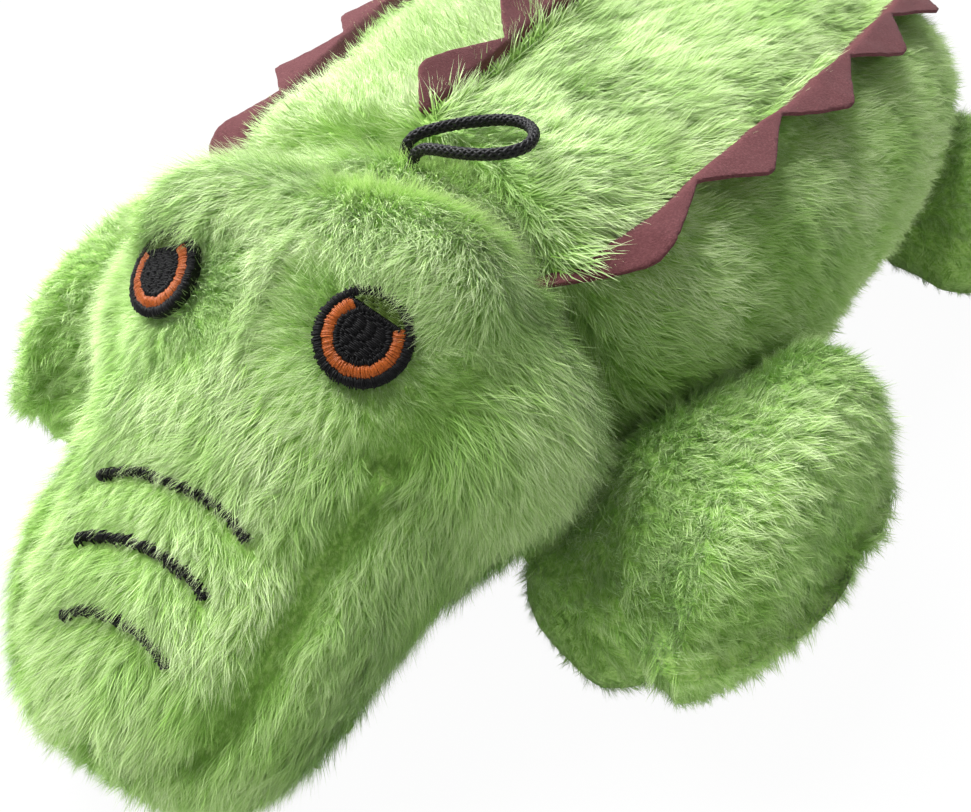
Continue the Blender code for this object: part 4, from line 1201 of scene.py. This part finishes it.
class TOY_OT_filling(bpy.types.Operator):
    """Finishes the fillings and the squeaker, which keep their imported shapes"""
    bl_idname = "toy.filling"
    bl_label = "Fillings and squeaker"

    def execute(self, context):
        chosen = context.scene.toy_filling
        fibre = plain_material("fibre_finish", chosen.fibre[:], 0.95, 180.0)
        plastic = plain_material("squeaker_finish", chosen.squeaker[:], 0.42, 60.0)
        for name, item in NODES.items():
            if name.endswith("stuffing") or name.startswith("squeaker"):
                for slot in item.material_slots:
                    slot.material = fibre if name.endswith("stuffing") else plastic
        return {"FINISHED"}


class TOY_OT_felt(bpy.types.Operator):
    """Makes the felt spikes"""
    bl_idname = "toy.felt"
    bl_label = "Felt spikes"

    def execute(self, context):
        material = felt_material(context.scene.toy_trim.felt[:])
        noise.seed_set(FELT_SEED)
        for node, body in FELTS.items():
            mesh = NODES[node].data.copy()
            mesh.materials.clear()
            mesh.materials.append(material)
            item = link(bpy.data.objects.new(node + "_strip", mesh))
            area, spread = soft_felt(mesh, node.startswith("side"))
            mesh.shade_smooth()
            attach(item, body)
            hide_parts(node)
        return {"FINISHED"}


class TOY_OT_embroidery(bpy.types.Operator):
    """Embroiders both eyes and the nose lines"""
    bl_idname = "toy.embroidery"
    bl_label = "Embroidery"

    def execute(self, context):
        chosen = context.scene.toy_trim
        black = thread_material("black_thread_finish", chosen.black[:], (0.55, 0.01, 0.16))
        orange = thread_material("orange_thread_finish", chosen.orange[:])
        olive = thread_material("olive_thread_finish", chosen.olive[:])
        for side in EYES:
            embroider_eye(side, {"black": black, "orange": orange, "olive": olive}, chosen.thread)
        for number, name in enumerate(NOSE_LINES):
            embroider_nose(name, np.random.default_rng(40 + number), black)
        return {"FINISHED"}


class TOY_OT_loop(bpy.types.Operator):
    """Makes the braided hang loop"""
    bl_idname = "toy.loop"
    bl_label = "Hang loop"

    def execute(self, context):
        material = cord_material(context.scene.toy_trim.black[:])
        lowest = min(vertex.co.z for vertex in NODES["hang_loop"].data.vertices)
        foot = Vector((0.0, LOOP_FOOT_Y, lowest))
        path = drawn_line([foot + Vector(step) for step in LOOP_ROUTE], LOOP_STEP)
        made = threads("braided_loop", braid(path, CORD_RADIUS) + [path], STRAND_WIDTH, material,
                       sides=6)
        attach(made, "body")
        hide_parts("hang_loop")
        return {"FINISHED"}


class TOY_OT_stage(bpy.types.Operator):
    """Sets the floor, the lights and the camera"""
    bl_idname = "toy.stage"
    bl_label = "Stage"

    def execute(self, context):
        scene = context.scene
        chosen = scene.toy_stage
        object_from("floor", [(-4, -4, 0), (4, -4, 0), (4, 4, 0), (-4, 4, 0)],
                             [(0, 1, 2, 3)], floor_material(chosen.floor))
        scene.world = white_world()
        for name, spot, power in LAMPS:
            lamp = bpy.data.lights.new(name, "AREA")
            lamp.size = 1.0
            lamp.energy = power
            item = link(bpy.data.objects.new(name, lamp))
            item.location = spot
            item.rotation_euler = (LIT_PLACE - Vector(spot)).to_track_quat("-Z", "Y").to_euler()
        camera = bpy.data.cameras.new("camera")
        camera.lens = chosen.lens
        camera.sensor_width = 36.0
        camera.clip_start = 0.01
        item = link(bpy.data.objects.new("camera", camera))
        item.location = CAMERA_PLACE
        item.rotation_euler = (math.radians(CAMERA_TILT), 0.0, math.radians(CAMERA_TURN))
        scene.camera = item
        scene.view_settings.view_transform = "Standard"
        return {"FINISHED"}


class TOY_PT_panel(bpy.types.Panel):
    """Lists the toy's pieces"""
    bl_idname = "TOY_PT_panel"
    bl_label = "Plush toy"
    bl_space_type = "VIEW_3D"
    bl_region_type = "UI"
    bl_category = "Plush toy"

    def draw(self, context):
        for operator in OPERATORS:
            self.layout.operator(operator.bl_idname)


SETTINGS = (("toy_plush", ToyPlushSettings), ("toy_filling", ToyFillingSettings),
            ("toy_trim", ToyTrimSettings), ("toy_stage", ToyStageSettings))
OPERATORS = (TOY_OT_plush, TOY_OT_filling, TOY_OT_felt, TOY_OT_embroidery, TOY_OT_loop,
             TOY_OT_stage)


def register():
    for name, group in SETTINGS:
        bpy.utils.register_class(group)
        setattr(bpy.types.Scene, name, bpy.props.PointerProperty(type=group))
    for item in (*OPERATORS, TOY_PT_panel):
        bpy.utils.register_class(item)


def unregister():
    for item in (TOY_PT_panel, *reversed(OPERATORS)):
        bpy.utils.unregister_class(item)
    for name, group in reversed(SETTINGS):
        delattr(bpy.types.Scene, name)
        bpy.utils.unregister_class(group)


def main():
    register()
    for operator in OPERATORS:
        family, word = operator.bl_idname.split(".")
        getattr(getattr(bpy.ops, family), word)()


if __name__ == "__main__":
    main()
